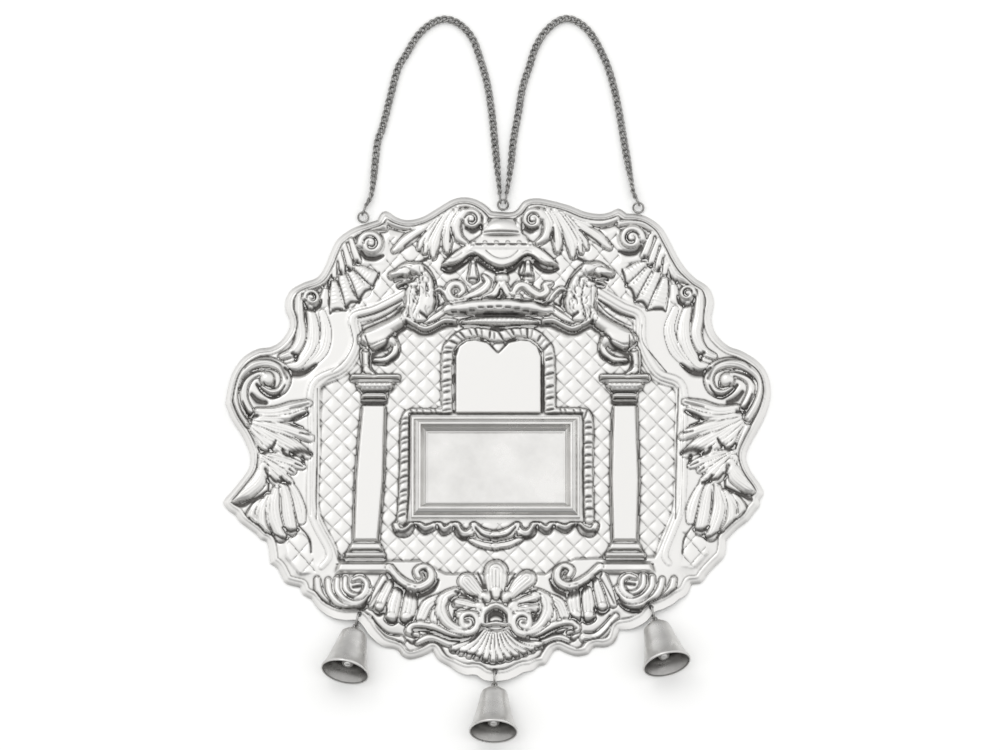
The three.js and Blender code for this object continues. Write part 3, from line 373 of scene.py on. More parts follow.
# Each row is one lobe of the rim, in drawing pixels: a smooth curve that ends in a corner. The rows
# run from the top centre down the left half and up the right half.
RIM_LOBES = [
    [(492, 211), (485, 204.5), (475, 199), (464, 197), (452, 199.5), (436, 209), (422, 217), (408, 220),
     (397, 217.5), (390, 213), (385.5, 211), (381, 213), (377, 220)],
    [(377, 220), (366, 223.5), (352, 228.5), (338, 238.5), (331, 251), (325, 266), (317, 277.5), (303, 283),
     (291, 290), (285.5, 300), (285.5, 311), (289.5, 321), (288.5, 330), (281, 341), (271, 347.2),
     (257, 349.5), (243, 358), (233, 372), (228, 388), (225.4, 404)],
    [(225.4, 404), (232, 420), (244, 439), (250.5, 456), (249, 469), (240, 482), (231, 493)],
    [(231, 493), (224.2, 502), (229, 510), (236, 515)],
    [(236, 515), (241, 522), (249, 528), (257, 534)],
    [(257, 534), (262, 539.5), (267.5, 542), (270, 553), (271, 563)],
    [(271, 563), (278, 568), (282.5, 576), (287, 583), (301, 587)],
    [(301, 587), (304, 594), (312, 598.5)],
    [(312, 598.5), (320, 608.5), (332, 616.5), (345, 619.8), (357.5, 620), (364, 626), (371, 635.5),
     (383, 645), (397, 648.5), (403, 655), (411, 658), (423, 655), (433, 650)],
    [(433, 650), (439, 659), (451, 666)],
    [(451, 666), (459, 671), (467, 674)],
    [(467, 674), (476, 674), (484, 679), (494, 680.5)],
    [(494, 680.5), (507, 679), (517, 675)],
    [(517, 675), (523, 671.5), (533, 669)],
    [(533, 669), (538, 665), (545, 663), (550, 655), (553, 650.5)],
    [(553, 650.5), (558, 648.5), (566, 652), (576, 655), (587, 653), (593.5, 646.5), (605, 646),
     (614, 641), (618.5, 629)],
    [(618.5, 629), (632, 628), (645, 621.5), (653, 612.5), (663, 608.5), (672, 604)],
    [(672, 604), (678, 599), (686, 593.5), (690.5, 584)],
    [(690.5, 584), (700, 582.5), (705, 576)],
    [(705, 576), (713, 567), (722, 558), (725, 549), (725.5, 540)],
    [(725.5, 540), (735, 530), (747, 521)],
    [(747, 521), (753, 513), (758.5, 506), (759, 500)],
    [(759, 500), (762.8, 493), (759, 484), (750, 471), (745.5, 457), (750, 444), (760, 426),
     (767, 410), (770.4, 392), (767, 374), (757, 361), (742, 351.5), (728, 346), (716, 334),
     (711.5, 319), (714, 302), (709, 288), (697, 279.5)],
    [(697, 279.5), (688, 271), (679, 258.5), (671, 243), (662, 227.5), (649, 217.5), (638, 214), (627, 213.5)],
    [(627, 213.5), (619, 208.5), (610, 212), (600, 213.8), (585, 211.5), (570, 205.5), (552, 200.5),
     (536, 198), (524, 201), (513.5, 211.5), (492, 211)],
]
# Holes for the bells' rings
RING_HOLES = [(360, 614.5), (495, 672), (650.5, 607.5)]
HOLE_RADIUS = 2.5
HOLE_STEPS = 24

# The right half repeats the left across a centre line that leans a little
CENTRE_TOP = (503.5, 205)
CENTRE_FOOT = (494.5, 675)
RIGHT_LIFT = 3


def mirrored(pixel):
    share = (pixel[1] - CENTRE_TOP[1]) / (CENTRE_FOOT[1] - CENTRE_TOP[1])
    centre = CENTRE_TOP[0] + (CENTRE_FOOT[0] - CENTRE_TOP[0]) * share
    return (2 * centre - pixel[0], pixel[1] - RIGHT_LIFT)


def across_centre(pixel):
    """The place in the right half of a place in the left: mirrored, then moved as the pairs near it are."""
    x, y = mirrored(pixel)
    total, move_x, move_y = 1e-9, 0.0, 0.0
    for left, right in PAIRS:
        weight = 1 / ((pixel[0] - left[0]) ** 2 + (pixel[1] - left[1]) ** 2 + 40) ** 1.5
        twin = mirrored(left)
        total += weight
        move_x += weight * (right[0] - twin[0])
        move_y += weight * (right[1] - twin[1])
    return (x + move_x / total, y + move_y / total)


# Places of the left half, and where the right half has them
PAIRS = [
    ((370.5, 243.5), (632, 238)), ((311, 298.5), (688, 294)), ((268, 379), (726, 380)),
    ((472, 219), (532, 219)), ((357, 585.5), (631, 583)), ((411, 635), (575, 632)), ((467, 619), (523, 620)),
    ((374, 403), (624.6, 403)), ((366.5, 542), (624.6, 542)), ((352, 318), (640, 318)),
    ((311, 385), (685, 385)), ((309, 414), (684, 412)), ((309, 500), (683, 500)), ((240, 500), (754, 494)),
    ((330, 552), (664, 553)), ((388, 221), (617, 218)), ((433, 650), (553, 650)), ((392, 617), (588, 616)),
    ((226, 404), (769, 395)), ((420, 262), (586, 262)), ((450, 312), (548, 312)), ((356, 372), (646, 372)),
]


def outline_pixels():
    return np.vstack([smooth_curve(lobe, 8)[:-1] for lobe in RIM_LOBES])


def hole_rings():
    """The edge of each hole, as pixels."""
    angles = np.linspace(0, 2 * np.pi, HOLE_STEPS, endpoint=False)
    return [np.stack([x + HOLE_RADIUS * np.cos(angles), y + HOLE_RADIUS * np.sin(angles)], axis=1)
            for x, y in RING_HOLES]


def offset_from_line(x, y, line):
    """Distance to a line of points, how far along it the nearest place is, from 0 to 1, and its side, -1 or 1."""
    best = np.full(x.shape, FAR)
    along = np.zeros(x.shape)
    side = np.ones(x.shape)
    spans = len(line) - 1
    for i in range(spans):
        (ax, ay), (bx, by) = line[i], line[i + 1]
        dx, dy = bx - ax, by - ay
        share = np.clip(((x - ax) * dx + (y - ay) * dy) / (dx * dx + dy * dy + TINY), 0, 1)
        gone = np.hypot(x - ax - share * dx, y - ay - share * dy)
        nearer = gone < best
        best = np.where(nearer, gone, best)
        along = np.where(nearer, (i + share) / spans, along)
        side = np.where(nearer, np.sign(dx * (y - ay) - dy * (x - ax) + 1e-9), side)
    return best, along, side


def distance_to_line(x, y, line):
    return offset_from_line(x, y, line)[:2]


def inside_line(x, y, line):
    inside = np.zeros(x.shape, bool)
    for (ax, ay), (bx, by) in zip(line, np.roll(line, -1, axis=0)):
        if ay == by:
            continue
        crosses = ((ay > y) != (by > y)) & (x < (bx - ax) * (y - ay) / (by - ay) + ax)
        inside ^= crosses
    return inside


def depth_in(x, y, line):
    """Distance from a closed line, positive inside it."""
    closed = np.vstack([line, line[:1]])
    gone, _ = distance_to_line(x, y, closed)
    return np.where(inside_line(x, y, line), gone, -gone)


def ease(value):
    value = np.clip(value, 0, 1)
    return value * value * (3 - 2 * value)


# The view is tilted, so the raised forms are drawn this many pixels too high
RAISED_SHIFT = 2.2
# The plaque's frame, which is drawn where it stands: its centre and half sizes in pixels
PLAQUE_CENTRE = (496, 469)
PLAQUE_REACH = (90, 57)
# Half width that no leaf goes under, in pixels
NARROWEST = 0.3


class Relief:
    """Heights of the sheet over the table, in millimetres, on a grid of drawing pixels.

    Each tool below works on the part of the grid round its form, as the chaser's punches do."""

    def __init__(self, spacing):
        self.step = spacing
        self.xs = np.arange(LEFT_PIXEL - 2 * spacing, RIGHT_PIXEL + 3 * spacing, spacing)
        self.ys = np.arange(TOP_PIXEL - 2 * spacing, BOTTOM_PIXEL + 3 * spacing, spacing)
        self.x, self.y = np.meshgrid(self.xs, self.ys)
        self.outline = outline_pixels()
        self.depth = depth_in(self.x, self.y, self.outline)
        self.height = np.zeros(self.x.shape)
        # Darkness painted along the chased lines, the lattice's lower sides and inside the rim's bead: patina and
        # painted shade
        self.line_patina_and_shade = np.zeros(self.x.shape)
        off_plaque = np.hypot(np.clip(np.abs(self.x - PLAQUE_CENTRE[0]) - PLAQUE_REACH[0], 0, None),
                              np.clip(np.abs(self.y - PLAQUE_CENTRE[1]) - PLAQUE_REACH[1], 0, None))
        self.drawn_y = self.y - RAISED_SHIFT * ease(self.depth / 12) * ease(off_plaque / 12)

    def window(self, points, reach):
        points = np.array(points, float)
        i0, i1 = np.searchsorted(self.xs, [points[:, 0].min() - reach, points[:, 0].max() + reach])
        j0, j1 = np.searchsorted(self.ys, [points[:, 1].min() - reach, points[:, 1].max() + reach + RAISED_SHIFT])
        part = (slice(j0, j1), slice(i0, i1))
        return part, self.x[part], self.drawn_y[part]

    def spread(self, along, halves):
        """Half widths at places along a curve, from a list of values at even distances."""
        return np.interp(along, np.linspace(0, 1, len(halves)), halves)

    def ridge(self, points, halves, level, power=0.5):
        """A rounded ridge along a curve, whose half width runs through a list of values."""
        route = smooth_curve(points, 5)
        part, x, y = self.window(route, max(halves))
        gone, along = distance_to_line(x, y, route)
        half = self.spread(along, halves)
        share = np.clip(1 - (gone / np.maximum(half, 1e-6)) ** 2, 0, 1)
        here = self.height[part]
        shaped = here + (level - here) * share ** power
        self.line_patina_and_shade[part] *= share < 0.3
        self.height[part] = np.where(share > 0, np.maximum(here, shaped), here)

    def leaf(self, points, halves, level, strands=2, depth=0.55, edge=0.8):
        """A chased leaf: a swelling form with grooves between its strands and a line set down round it."""
        route = smooth_curve(points, 6)
        part, x, y = self.window(route, max(halves) + 4)
        gone, along, side = offset_from_line(x, y, route)
        half = np.maximum(self.spread(along, halves), NARROWEST)
        across = np.clip(gone / half, 0, 1)
        swell = np.clip(1 - across ** 2.2, 0, 1) ** 0.8
        place = (across * side + 1) / 2 * (strands + 1)
        from_groove = np.abs(place - np.round(place)) / (strands + 1) * 2 * half
        between = (np.round(place) > 0) & (np.round(place) < strands + 1)
        grooves = np.where(between, depth * np.exp(-(from_groove / 0.75) ** 2), 0)
        here = self.height[part]
        shaped = here + (level - grooves - here) * swell
        line = edge * np.exp(-((gone - half) / 1.2) ** 2) * (gone > half)
        self.line_patina_and_shade[part] *= gone > 0.85 * half
        self.height[part] = np.where(gone < half, np.maximum(here - 0.3, shaped), here - line)

    def rungs(self, points, halves, count, depth):
        """Short grooves across a form, at even distances along it."""
        route = smooth_curve(points, 6)
        part, x, y = self.window(route, max(halves))
        gone, along = distance_to_line(x, y, route)
        half = np.maximum(self.spread(along, halves), NARROWEST)
        inside = np.clip((half - gone) / 1.2, 0, 1)
        self.height[part] -= inside * depth * (0.5 + 0.5 * np.cos(2 * np.pi * count * along)) ** 3

    def groove(self, points, halves, depth):
        """A chased line, cut into whatever is there and darkened with patina and painted shade."""
        route = smooth_curve(points, 5)
        part, x, y = self.window(route, 3 * max(halves))
        gone, along = distance_to_line(x, y, route)
        half = self.spread(along, halves)
        share = np.exp(-(gone / half) ** 2)
        self.height[part] -= 0.6 * depth * share
        self.line_patina_and_shade[part] = np.maximum(self.line_patina_and_shade[part], min(depth / 1.7, 1) * share)

    def bead(self, centre, radius, level, squash=1.0):
        """A round boss."""
        part, x, y = self.window([centre], radius + 1)
        gone = np.hypot(x - centre[0], (y - centre[1]) / squash)
        share = np.clip(1 - (gone / radius) ** 2, 0, 1)
        here = self.height[part]
        self.height[part] = np.where(share > 0, np.maximum(here, here + (level - here) * share ** 0.5), here)

    def field(self, points, level, slope, smooth=False):
        """A flat field inside an outline, with sloping sides. Points in it come to its level.

        Where the level is a pair, the field tilts from the first at its top to the second at its foot."""
        line = smooth_curve([*points, points[0]], 5)[:-1] if smooth else np.array(points, float)
        part, x, y = self.window(line, 1)
        depth = depth_in(x, y, line)
        share = ease(depth / slope)
        here = self.height[part]
        if isinstance(level, tuple):
            level = np.interp(y, [line[:, 1].min(), line[:, 1].max()], level)
        self.line_patina_and_shade[part] *= depth < slope / 2
        self.height[part] = np.where(depth > 0, here + (level - here) * share, here)
        return part, x, y, depth

    def volute(self, centre, radius, turns, start, level, band=0.28, eye=0.15):
        """A scroll that winds inwards to a round eye."""
        steps = max(10, round(abs(turns) * 14))
        share = np.linspace(0, 1, steps)
        angle = start + share * turns * 2 * math.pi
        reach = radius * (0.72 - (0.72 - eye) * share)
        route = np.stack([centre[0] + reach * np.cos(angle), centre[1] + reach * np.sin(angle)], axis=1)
        widths = [band * radius, 0.75 * band * radius, 0.4 * band * radius]
        self.bead(centre, 0.9 * radius, level - 1.4)
        self.ridge(route, widths, level, power=0.75)
        inner = centre + 0.62 * (route - centre)
        self.groove(inner[:steps // 2], [0.5, 1.2, 2.2, 1.4], 1.7)
        self.bead(centre, 1.3 * eye * radius, level + 0.3)

    def blur(self, values, reach):
        """Values smoothed over a few pixels."""
        weights = np.exp(-(np.arange(-2 * reach, 2 * reach + 1) / reach) ** 2)
        weights /= weights.sum()
        padded = np.pad(values, 2 * reach, mode="edge")
        rows = sum(w * padded[:, k:k + values.shape[1]] for k, w in enumerate(weights))
        return sum(w * rows[k:k + values.shape[0], :] for k, w in enumerate(weights))


def both_halves(points):
    """A line of the left half, and the line that the right half has for it."""
    return points, [across_centre(p) for p in points]


def one_half(points):
    return (points,)


def chase_leaves(relief, rows, halves_of=both_halves, lower=0.0, more_strands=0, **settings):
    """Leaves from rows of middle line, half widths, level and strands."""
    for line, halves, level, strands in rows:
        for here in halves_of(line):
            relief.leaf(here, halves, level - lower, strands=strands + more_strands, **settings)


def chase_lines(relief, rows, halves_of=both_halves):
    """Cuts from rows of line, half widths and depth."""
    for line, halves, depth in rows:
        for here in halves_of(line):
            relief.groove(here, halves, depth)


# Heights in millimetres over the table, as the sheet was raised
THICKNESS = 0.8
BEAD_HEIGHT = 0.5
RIM_ROLL = 1.4
GROUND = 2.2
SURROUND = 4.2
BORDER = 5.0
PLUME = 5.0
VOLUTE = 6.8
FIGURE = 7.2
COLUMN = 7.6
# Width of the rim in pixels, usually and at a bell's hole, and how far the rim's lift there reaches
RIM_PIXELS = 6.4
RIM_AT_RINGS = 9.2
RING_LIFT = 2.0
RING_REACH = 32.0

# Ground: the stepped field behind the columns, its lattice and its border

FIELD = [(400, 303), (352, 319), (354, 343), (346, 362), (318, 386), (316, 440), (314, 500), (320, 526),
         (333, 548), (338, 562), (420, 562), (445, 575), (545, 575), (575, 560), (655, 558), (668, 536),
         (676, 510), (679, 440), (680, 386), (657, 370), (644, 345), (639, 316), (600, 298), (560, 318),
         (440, 318)]
BORDER_LINES = [
    [(416, 282), (404, 293), (376, 308), (352, 317), (355, 342), (342, 366), (312, 385), (312, 440),
     (310, 500), (316, 524), (330, 552), (322, 566)],
    [(584, 278), (596, 289), (622, 305), (641, 315), (643, 342), (658, 371), (683, 386), (683, 440),
     (682, 500), (674, 526), (664, 552), (668, 562)],
]
# Width and height of a diamond between the columns, and of one round the crown
LATTICE_PITCH = (18.5, 9.4)
SKY_PITCH = (20, 11.5)
# Places outside the border that have diamonds too: round the crown and the lions, and at both feet
LATTICE_PATCHES = [
    [(342, 262), (384, 262), (388, 232), (404, 238), (432, 250), (470, 246), (535, 246), (575, 248), (604, 236),
     (618, 228), (622, 262), (650, 256), (660, 285), (640, 314), (600, 298), (560, 318), (440, 318), (400, 303),
     (352, 318), (338, 292)],
    [(286, 530), (312, 532), (318, 572), (300, 574), (286, 556)],
    [(680, 530), (704, 528), (708, 552), (694, 568), (678, 566)],
]


def scales(relief, points, level, puff, pitch, slope=3.0):
    """Diamonds set like scales inside an outline: each rises to its foot and drops at its two lower sides, which
    get painted shade.
    """
    part, x, y, depth = relief.field(points, level, slope)
    across, down = pitch
    right = (x / across + y / (2 * down)) % 1
    left = (y / (2 * down) - x / across) % 1
    fall = np.clip((1 - right) / 0.14, 0, 1) * np.clip((1 - left) / 0.14, 0, 1)
    crown = 0.3 * np.sin(math.pi * right) * np.sin(math.pi * left)
    inside = ease(depth / slope)
    relief.height[part] += inside * puff * ((0.2 + 0.3 * (right + left) + crown) * fall - 0.3)
    # Painted shade on each diamond's two lower sides
    relief.line_patina_and_shade[part] = np.maximum(relief.line_patina_and_shade[part], 0.3 * inside * (1 - fall))


def border_band(relief, line, half, level):
    """Three steps that follow a line, as on a moulding."""
    relief.ridge(line, [half + 4.5, half + 4.5], level - 1.5, power=0.25)
    relief.ridge(line, [half + 1.5, half + 1.5], level - 0.7, power=0.3)
    relief.ridge(line, [half - 1.5, half - 1.5], level, power=0.5)


def shape_ground(relief):
    scales(relief, FIELD, GROUND, 0.9, LATTICE_PITCH, slope=5)
    for patch in LATTICE_PATCHES:
        scales(relief, patch, SURROUND - 0.6, 0.8, SKY_PITCH)
    for line in BORDER_LINES:
        border_band(relief, line, 4.5, BORDER)


# Surround: scrolls, leaves and shells between the border and the rim. The rows are the left half.

# Chased leaves: the middle line, its half widths, its level and its strands
LEAVES = [
    # Wave of leaves over the crown's side
    [[(388, 221), (402, 225), (420, 223), (436, 216), (450, 208), (466, 204), (479, 208), (485, 216), (484, 226)],
     [4, 4.5, 5, 5, 4.5, 4, 3], 6.0, 2],
    [[(436, 222), (420, 230), (408, 238), (394, 250)], [4, 6, 6.5, 3], 6.0, 3],
    [[(438, 219), (428, 233), (422, 241), (419, 248)], [3, 4, 4, 2], 6.2, 1],
    [[(444, 215), (433, 233), (428, 243), (425, 252)], [3.5, 4, 4.5, 2.5], 6.4, 1],
    [[(450, 212), (440, 229), (434, 244), (433, 256)], [4, 5, 6, 3], 6.6, 2],
    [[(457, 211), (449, 226), (447, 240), (447, 251)], [4, 5, 6, 3], 6.8, 2],
    [[(463, 211), (456, 224), (458, 236), (466, 243)], [4, 5, 5, 2.5], 7.0, 2],
    # Wing between the two upper volutes: a band, flutes below it and plumes below those
    [[(384, 226), (372, 226), (358, 229), (345, 237), (337, 250), (331, 265), (322, 279), (308, 286), (299, 293)],
     [4, 4.5, 5, 5, 4.5, 4], 6.2, 1],
    [[(351, 240), (354, 250), (358, 260)], [3.4, 4, 3.4], 5.8, 0],
    [[(344, 245), (347, 256), (350, 266)], [3.4, 4, 3.4], 5.8, 0],
    [[(339, 253), (341, 262), (342, 270)], [3.2, 3.8, 3.2], 5.6, 0],
    [[(334, 263), (334, 270), (334, 276)], [3, 3.6, 3], 5.6, 0],
    [[(328, 272), (326, 279), (325, 284)], [3, 3.4, 3], 5.4, 0],
    # Long leaf beside the outer volute, which ends in a curl
    [[(299, 298), (299, 318), (301, 336), (294, 350), (282, 356)], [4.5, 5.5, 6, 5, 3.5], 5.8, 1],
    [[(310, 309), (313, 328), (311, 348), (299, 364), (288, 366)], [3.5, 6, 7.5, 6, 3], 5.6, 3],
    [[(322, 312), (326, 330), (322, 350), (306, 368)], [3, 5, 6, 3], 5.0, 2],
    # Band of the large side scroll, and its inner tail
    [[(262, 387), (271, 392), (281, 390), (286, 381), (285, 372), (279, 365.5), (268, 362), (255, 364), (244, 372),
      (236.5, 385), (235, 398), (239, 412), (247, 424)],
     [1.5, 3.4, 4.4, 4.8, 5.2, 5.6, 5.6, 5.2, 5, 4.6, 4.4, 4], 6.8, 1],
    [[(262, 372), (251, 376), (244, 386), (244, 399), (250, 411)], [3, 4, 4.5, 4.5, 4], 6.4, 1],
    # Leaves that spread from the side scroll to the border
    [[(252, 428), (259, 438), (264, 446), (268, 453)], [4, 5, 5.5, 3], 6.0, 2],
    [[(254, 428), (266, 438), (278, 446), (288, 456)], [4, 6, 6.5, 4], 6.2, 3],
    [[(254, 424), (272, 433), (290, 443), (308, 455)], [4, 7, 8, 4], 6.2, 3],
    [[(255, 420), (275, 425), (295, 431), (311, 438)], [4, 6.5, 6.5, 4], 6.4, 3],
    [[(256, 417), (275, 417), (292, 416), (304, 411)], [4, 5, 5, 3], 6.6, 2],
    [[(258, 411), (275, 411), (292, 407), (309, 403)], [4, 5, 6, 3.5], 6.6, 2],
    [[(247, 432), (254, 450), (256, 466), (250, 480), (240, 492), (229, 501)], [4, 6, 7, 7, 6, 3], 5.6, 3],
    [[(262, 455), (276, 458), (290, 462), (303, 466)], [4, 6, 6, 3], 5.8, 2],
    [[(262, 458), (275, 465), (285, 468), (294, 471)], [4, 5, 5, 3], 6.0, 2],
    [[(262, 460), (272, 467), (281, 474), (290, 482)], [4, 5, 6, 4], 6.2, 2],
    [[(260, 462), (266, 470), (272, 476), (279, 483)], [4, 5, 5, 4], 6.2, 1],
    [[(264, 466), (259, 480), (247, 491), (231, 501)], [4, 8, 8, 2], 6.6, 4],
    # Large leaf at the side's foot
    [[(290, 484), (296, 495), (300, 508), (302, 520)], [4, 5, 6, 4], 5.4, 1],
    [[(262, 501), (255, 508), (252, 516), (254, 523)], [4, 5, 5.5, 4], 5.8, 1],
    [[(269, 496), (263, 510), (263, 522), (268, 533)], [4, 6, 7, 5], 6.2, 2],
    [[(277, 490), (274, 505), (276, 520), (282, 535)], [5, 7, 8, 6], 6.4, 2],
    [[(284, 486), (287, 500), (289, 515), (292, 529)], [4, 6, 7, 6], 6.6, 2],
]

# Plumes of the wing, with short ribs across them: the middle line, its half widths and its ribs
PLUMES = [
    [[(325, 289), (324, 296), (323, 303)], [3, 4, 4.5], 0],
    [[(333, 282), (335, 292), (337, 303)], [3.6, 5.5, 7.5], 6],
    [[(342, 275), (345, 286), (349, 299)], [4, 6, 7.5], 7],
    [[(350, 271), (355, 279), (362, 289)], [4, 6.5, 9], 7],
    [[(356, 267), (362, 271), (370, 277)], [3.4, 6, 8.5], 6],
]
# Lines chased along the border and in the side scroll
BORDER_CUTS = [
    [[(358, 317.6), (375, 313), (391.5, 305.6), (402, 299.8)], [0.9, 1.2, 1.2, 0.8], 1.5],
    [[(361.6, 324.6), (375, 319.7), (390, 312.2), (401.4, 303)], [0.7, 0.9, 0.9, 0.6], 1.2],
    [[(311, 400), (311, 460), (311, 515)], [0.6, 0.6], 0.6],
    [[(317.5, 388), (317.5, 450), (317, 518)], [0.7, 0.7], 0.9],
    [[(298.6, 524), (307, 533), (311, 541), (311.5, 551)], [0.8, 1.1, 0.9], 1.3],
    [[(350, 325), (353, 342), (346, 358), (332, 372)], [0.6, 0.7, 0.6], 0.8],
    [[(264, 383), (268, 387), (274, 386), (275, 380)], [0.8, 1.4, 1.1, 0.7], 1.5],
]
# Lines that part the plumes
PLUME_CUTS = [
    [[(355.2, 270.3), (363, 278), (372.5, 286.5)], [0.6, 0.7, 0.7], 1.2],
    [[(347.6, 273), (352.7, 284), (359, 301)], [0.6, 0.7, 0.7], 1.2],
    [[(337, 277), (341, 289), (346.3, 310)], [0.6, 0.7, 0.7], 1.2],
    [[(330.5, 283), (329, 297), (329.5, 312)], [0.6, 0.7, 0.7], 1.2],
    [[(379.4, 272), (376, 279), (372, 287)], [0.8, 1.3, 1.0], 1.6],
]

# Volutes: centre, radius, turns and starting angle
VOLUTES = [
    [(471, 219.5), 13.5, 1.6, 3.4],
    [(370.5, 243.5), 15.3, 1.7, 3.1],
    [(311.5, 298), 10, 1.5, 3.1],
]
# Round boss in the eye of the large side scroll
SIDE_BOSS = (267, 378.5)
SIDE_BOSS_RADIUS = 7.5

# Dark lines and crescents: the line, its half widths and its depth
CUTS = [
    [[(466, 228), (473, 230), (480, 226)], [1.5, 3, 2], 1.6],
    [[(451, 228), (451, 236), (450, 242)], [1, 2, 1], 1.2],
    [[(426, 231), (416, 237), (404, 246)], [1, 1.6, 1], 1.2],
    [[(361, 251), (366, 257), (375, 258), (383, 255)], [1.2, 2.6, 2.6, 1.2], 1.8],
    [[(357, 261), (357.5, 263)], [2, 2], 1.8],
    [[(348.5, 268), (349.5, 270)], [2, 2], 1.8],
    [[(340.5, 271), (341, 273)], [2, 2], 1.6],
    [[(324, 285), (328, 281), (332, 278)], [1.6, 2.2, 1.6], 1.6],
    [[(373, 287), (366, 290), (361, 296), (359, 302)], [1, 1.8, 1.8, 1], 1.6],
    [[(358, 301), (351, 302), (347, 306), (346, 309)], [1, 1.8, 1.8, 1], 1.6],
    [[(345, 310), (338, 309), (333, 310), (330, 313)], [1, 1.6, 1.6, 1], 1.4],
    [[(304, 303), (307, 308), (313, 309.5), (319, 306), (321, 300)], [1, 2, 2.2, 2, 1], 1.8],
    [[(292, 353), (296, 356), (296, 360)], [1.6, 2.4, 1.4], 1.8],
    [[(285, 368), (293, 373), (304, 372), (316, 364)], [1.4, 3.6, 3.8, 1.2], 2.2],
    [[(245, 368), (252, 361), (268, 359.5), (280, 365), (287, 378)], [1.4, 1.6, 1.8, 2, 2.2], 1.4],
    [[(240, 389), (245, 379), (255, 372.5), (263, 371)], [1.4, 1.9, 1.9, 1], 1.6],
    [[(257, 384), (263, 391), (271, 396), (279, 394), (285, 386)], [1.4, 2.2, 2.6, 2, 1], 1.8],
    [[(252, 394), (258, 400), (266, 402)], [2, 4, 2.6], 2.0],
    [[(243, 402), (247, 411), (252, 416), (257, 416)], [1, 1.6, 3, 2.2], 1.8],
    [[(290, 409), (300, 406.5), (309, 404)], [0.8, 1.4, 1.2], 1.2],
    [[(308, 413), (297, 417), (292, 421), (296, 425), (303, 427)], [1.8, 2.2, 2.6, 1.8, 1], 1.9],
    [[(300, 433), (309, 434)], [1, 1.6], 1.2],
    [[(259, 448), (266, 452), (272, 448), (276, 441)], [1.8, 2.4, 2, 1], 1.8],
    [[(283, 450), (288, 455), (296, 452), (304, 451), (312, 454)], [1.8, 2.6, 3.6, 4, 2], 2.2],
    [[(303, 456), (304, 463)], [2.4, 1.4], 1.8],
    [[(296, 463), (303, 466)], [1.2, 1.2], 1.4],
    [[(290, 469), (294, 472)], [1.4, 1.4], 1.4],
    [[(271, 476), (276, 481), (281, 481)], [1.4, 2.4, 1.6], 1.8],
    [[(282, 477), (286, 482), (291, 483)], [1.4, 2.4, 1.6], 1.8],
    [[(266, 469), (269, 478), (269, 489)], [2, 1.4, 1.2], 1.4],
    [[(268, 491), (260, 496), (250, 501), (241, 505), (232, 502)], [1.8, 2.2, 1.8, 2, 1], 2.0],
    [[(250, 517), (253, 523), (259, 524)], [1, 2.2, 1.4], 1.8],
    [[(261, 526), (266, 533), (273, 534)], [1, 2.2, 1.4], 1.8],
    [[(275, 533), (284, 538), (290, 535)], [1, 2, 1.4], 1.6],
    [[(284, 527), (291, 531), (299, 528.5)], [1, 2.6, 1.4], 2.0],
]


def shape_surround(relief):
    for line, halves, ribs in PLUMES:
        for half_line in both_halves(line):
            relief.leaf(half_line, halves, PLUME, strands=0, edge=0.4)
            relief.rungs(half_line, halves, ribs, 0.3)
    chase_leaves(relief, LEAVES, lower=0.3, more_strands=1, depth=0.4, edge=0.5)
    for boss in both_halves([SIDE_BOSS]):
        relief.bead(boss[0], SIDE_BOSS_RADIUS, VOLUTE)
    for centre, radius, turns, start in VOLUTES:
        relief.volute(centre, radius, turns, start, VOLUTE)
        relief.volute(across_centre(centre), radius, -turns, math.pi - start, VOLUTE)
    chase_lines(relief, CUTS + PLUME_CUTS + BORDER_CUTS)


# Columns, tablets and the bed of the plaque

COLUMNS = [((374, 403), (366.5, 542)), ((624.6, 403), (624.6, 542))]
TABLETS = [(454.5, 417), (454.5, 356), (458, 345), (466, 339), (476, 338), (488, 341), (498, 351),
           (508, 341), (520, 338), (530, 339), (538, 345), (542, 356), (542, 417)]
TABLET_BORDER = [(447, 415), (447, 356), (452, 343), (463, 334), (480, 331), (498, 336), (515, 331), (532, 333),
                 (544, 343), (549, 356), (550, 415)]
PLAQUE_BORDERS = [
    [(447, 414), (426, 415), (411, 415), (406, 422), (405, 450), (404, 490), (402, 520)],
    [(550, 414), (570, 414), (584, 415), (588, 422), (588, 450), (588, 490), (589, 520)],
]
PLAQUE_BED = [(408, 413.5), (584, 413.5), (584, 524.5), (408, 524.5)]
# Curls under the plaque, the left half
PLAQUE_CURLS = [
    [[(396, 524), (400, 531), (408, 530), (414, 523)], [3, 4, 4, 3], 5.2, 1],
    [[(417, 522), (424, 529), (433, 527), (436, 522)], [3, 3.6, 3.4, 2.4], 5.0, 1],
    [[(439, 523), (443, 530), (450, 528), (453, 522)], [3, 3.6, 3.4, 2.4], 5.0, 1],
    [[(456, 522), (459, 531), (466, 534), (473, 530), (474, 523)], [3, 4, 4.4, 4, 3], 5.4, 1],
    [[(474, 526), (482, 533), (496, 536)], [3, 5, 5], 5.6, 2],
    [[(470, 538), (482, 543), (496, 545)], [2, 3.6, 3.6], 4.6, 1],
]
PLAQUE_CUTS = [
    [[(397, 531), (405, 532), (414, 526)], [2, 2.6, 1.6], 2.0],
    [[(418, 527), (425, 531), (433, 529)], [1.6, 2, 1.2], 1.6],
    [[(438, 528), (444, 532), (451, 529)], [1.4, 2, 1.4], 1.6],
    [[(456, 529), (462, 536), (470, 536)], [2, 2.4, 1.8], 1.8],
    [[(476, 529), (485, 536), (498, 538)], [1.2, 1.8, 1.8], 1.6],
]


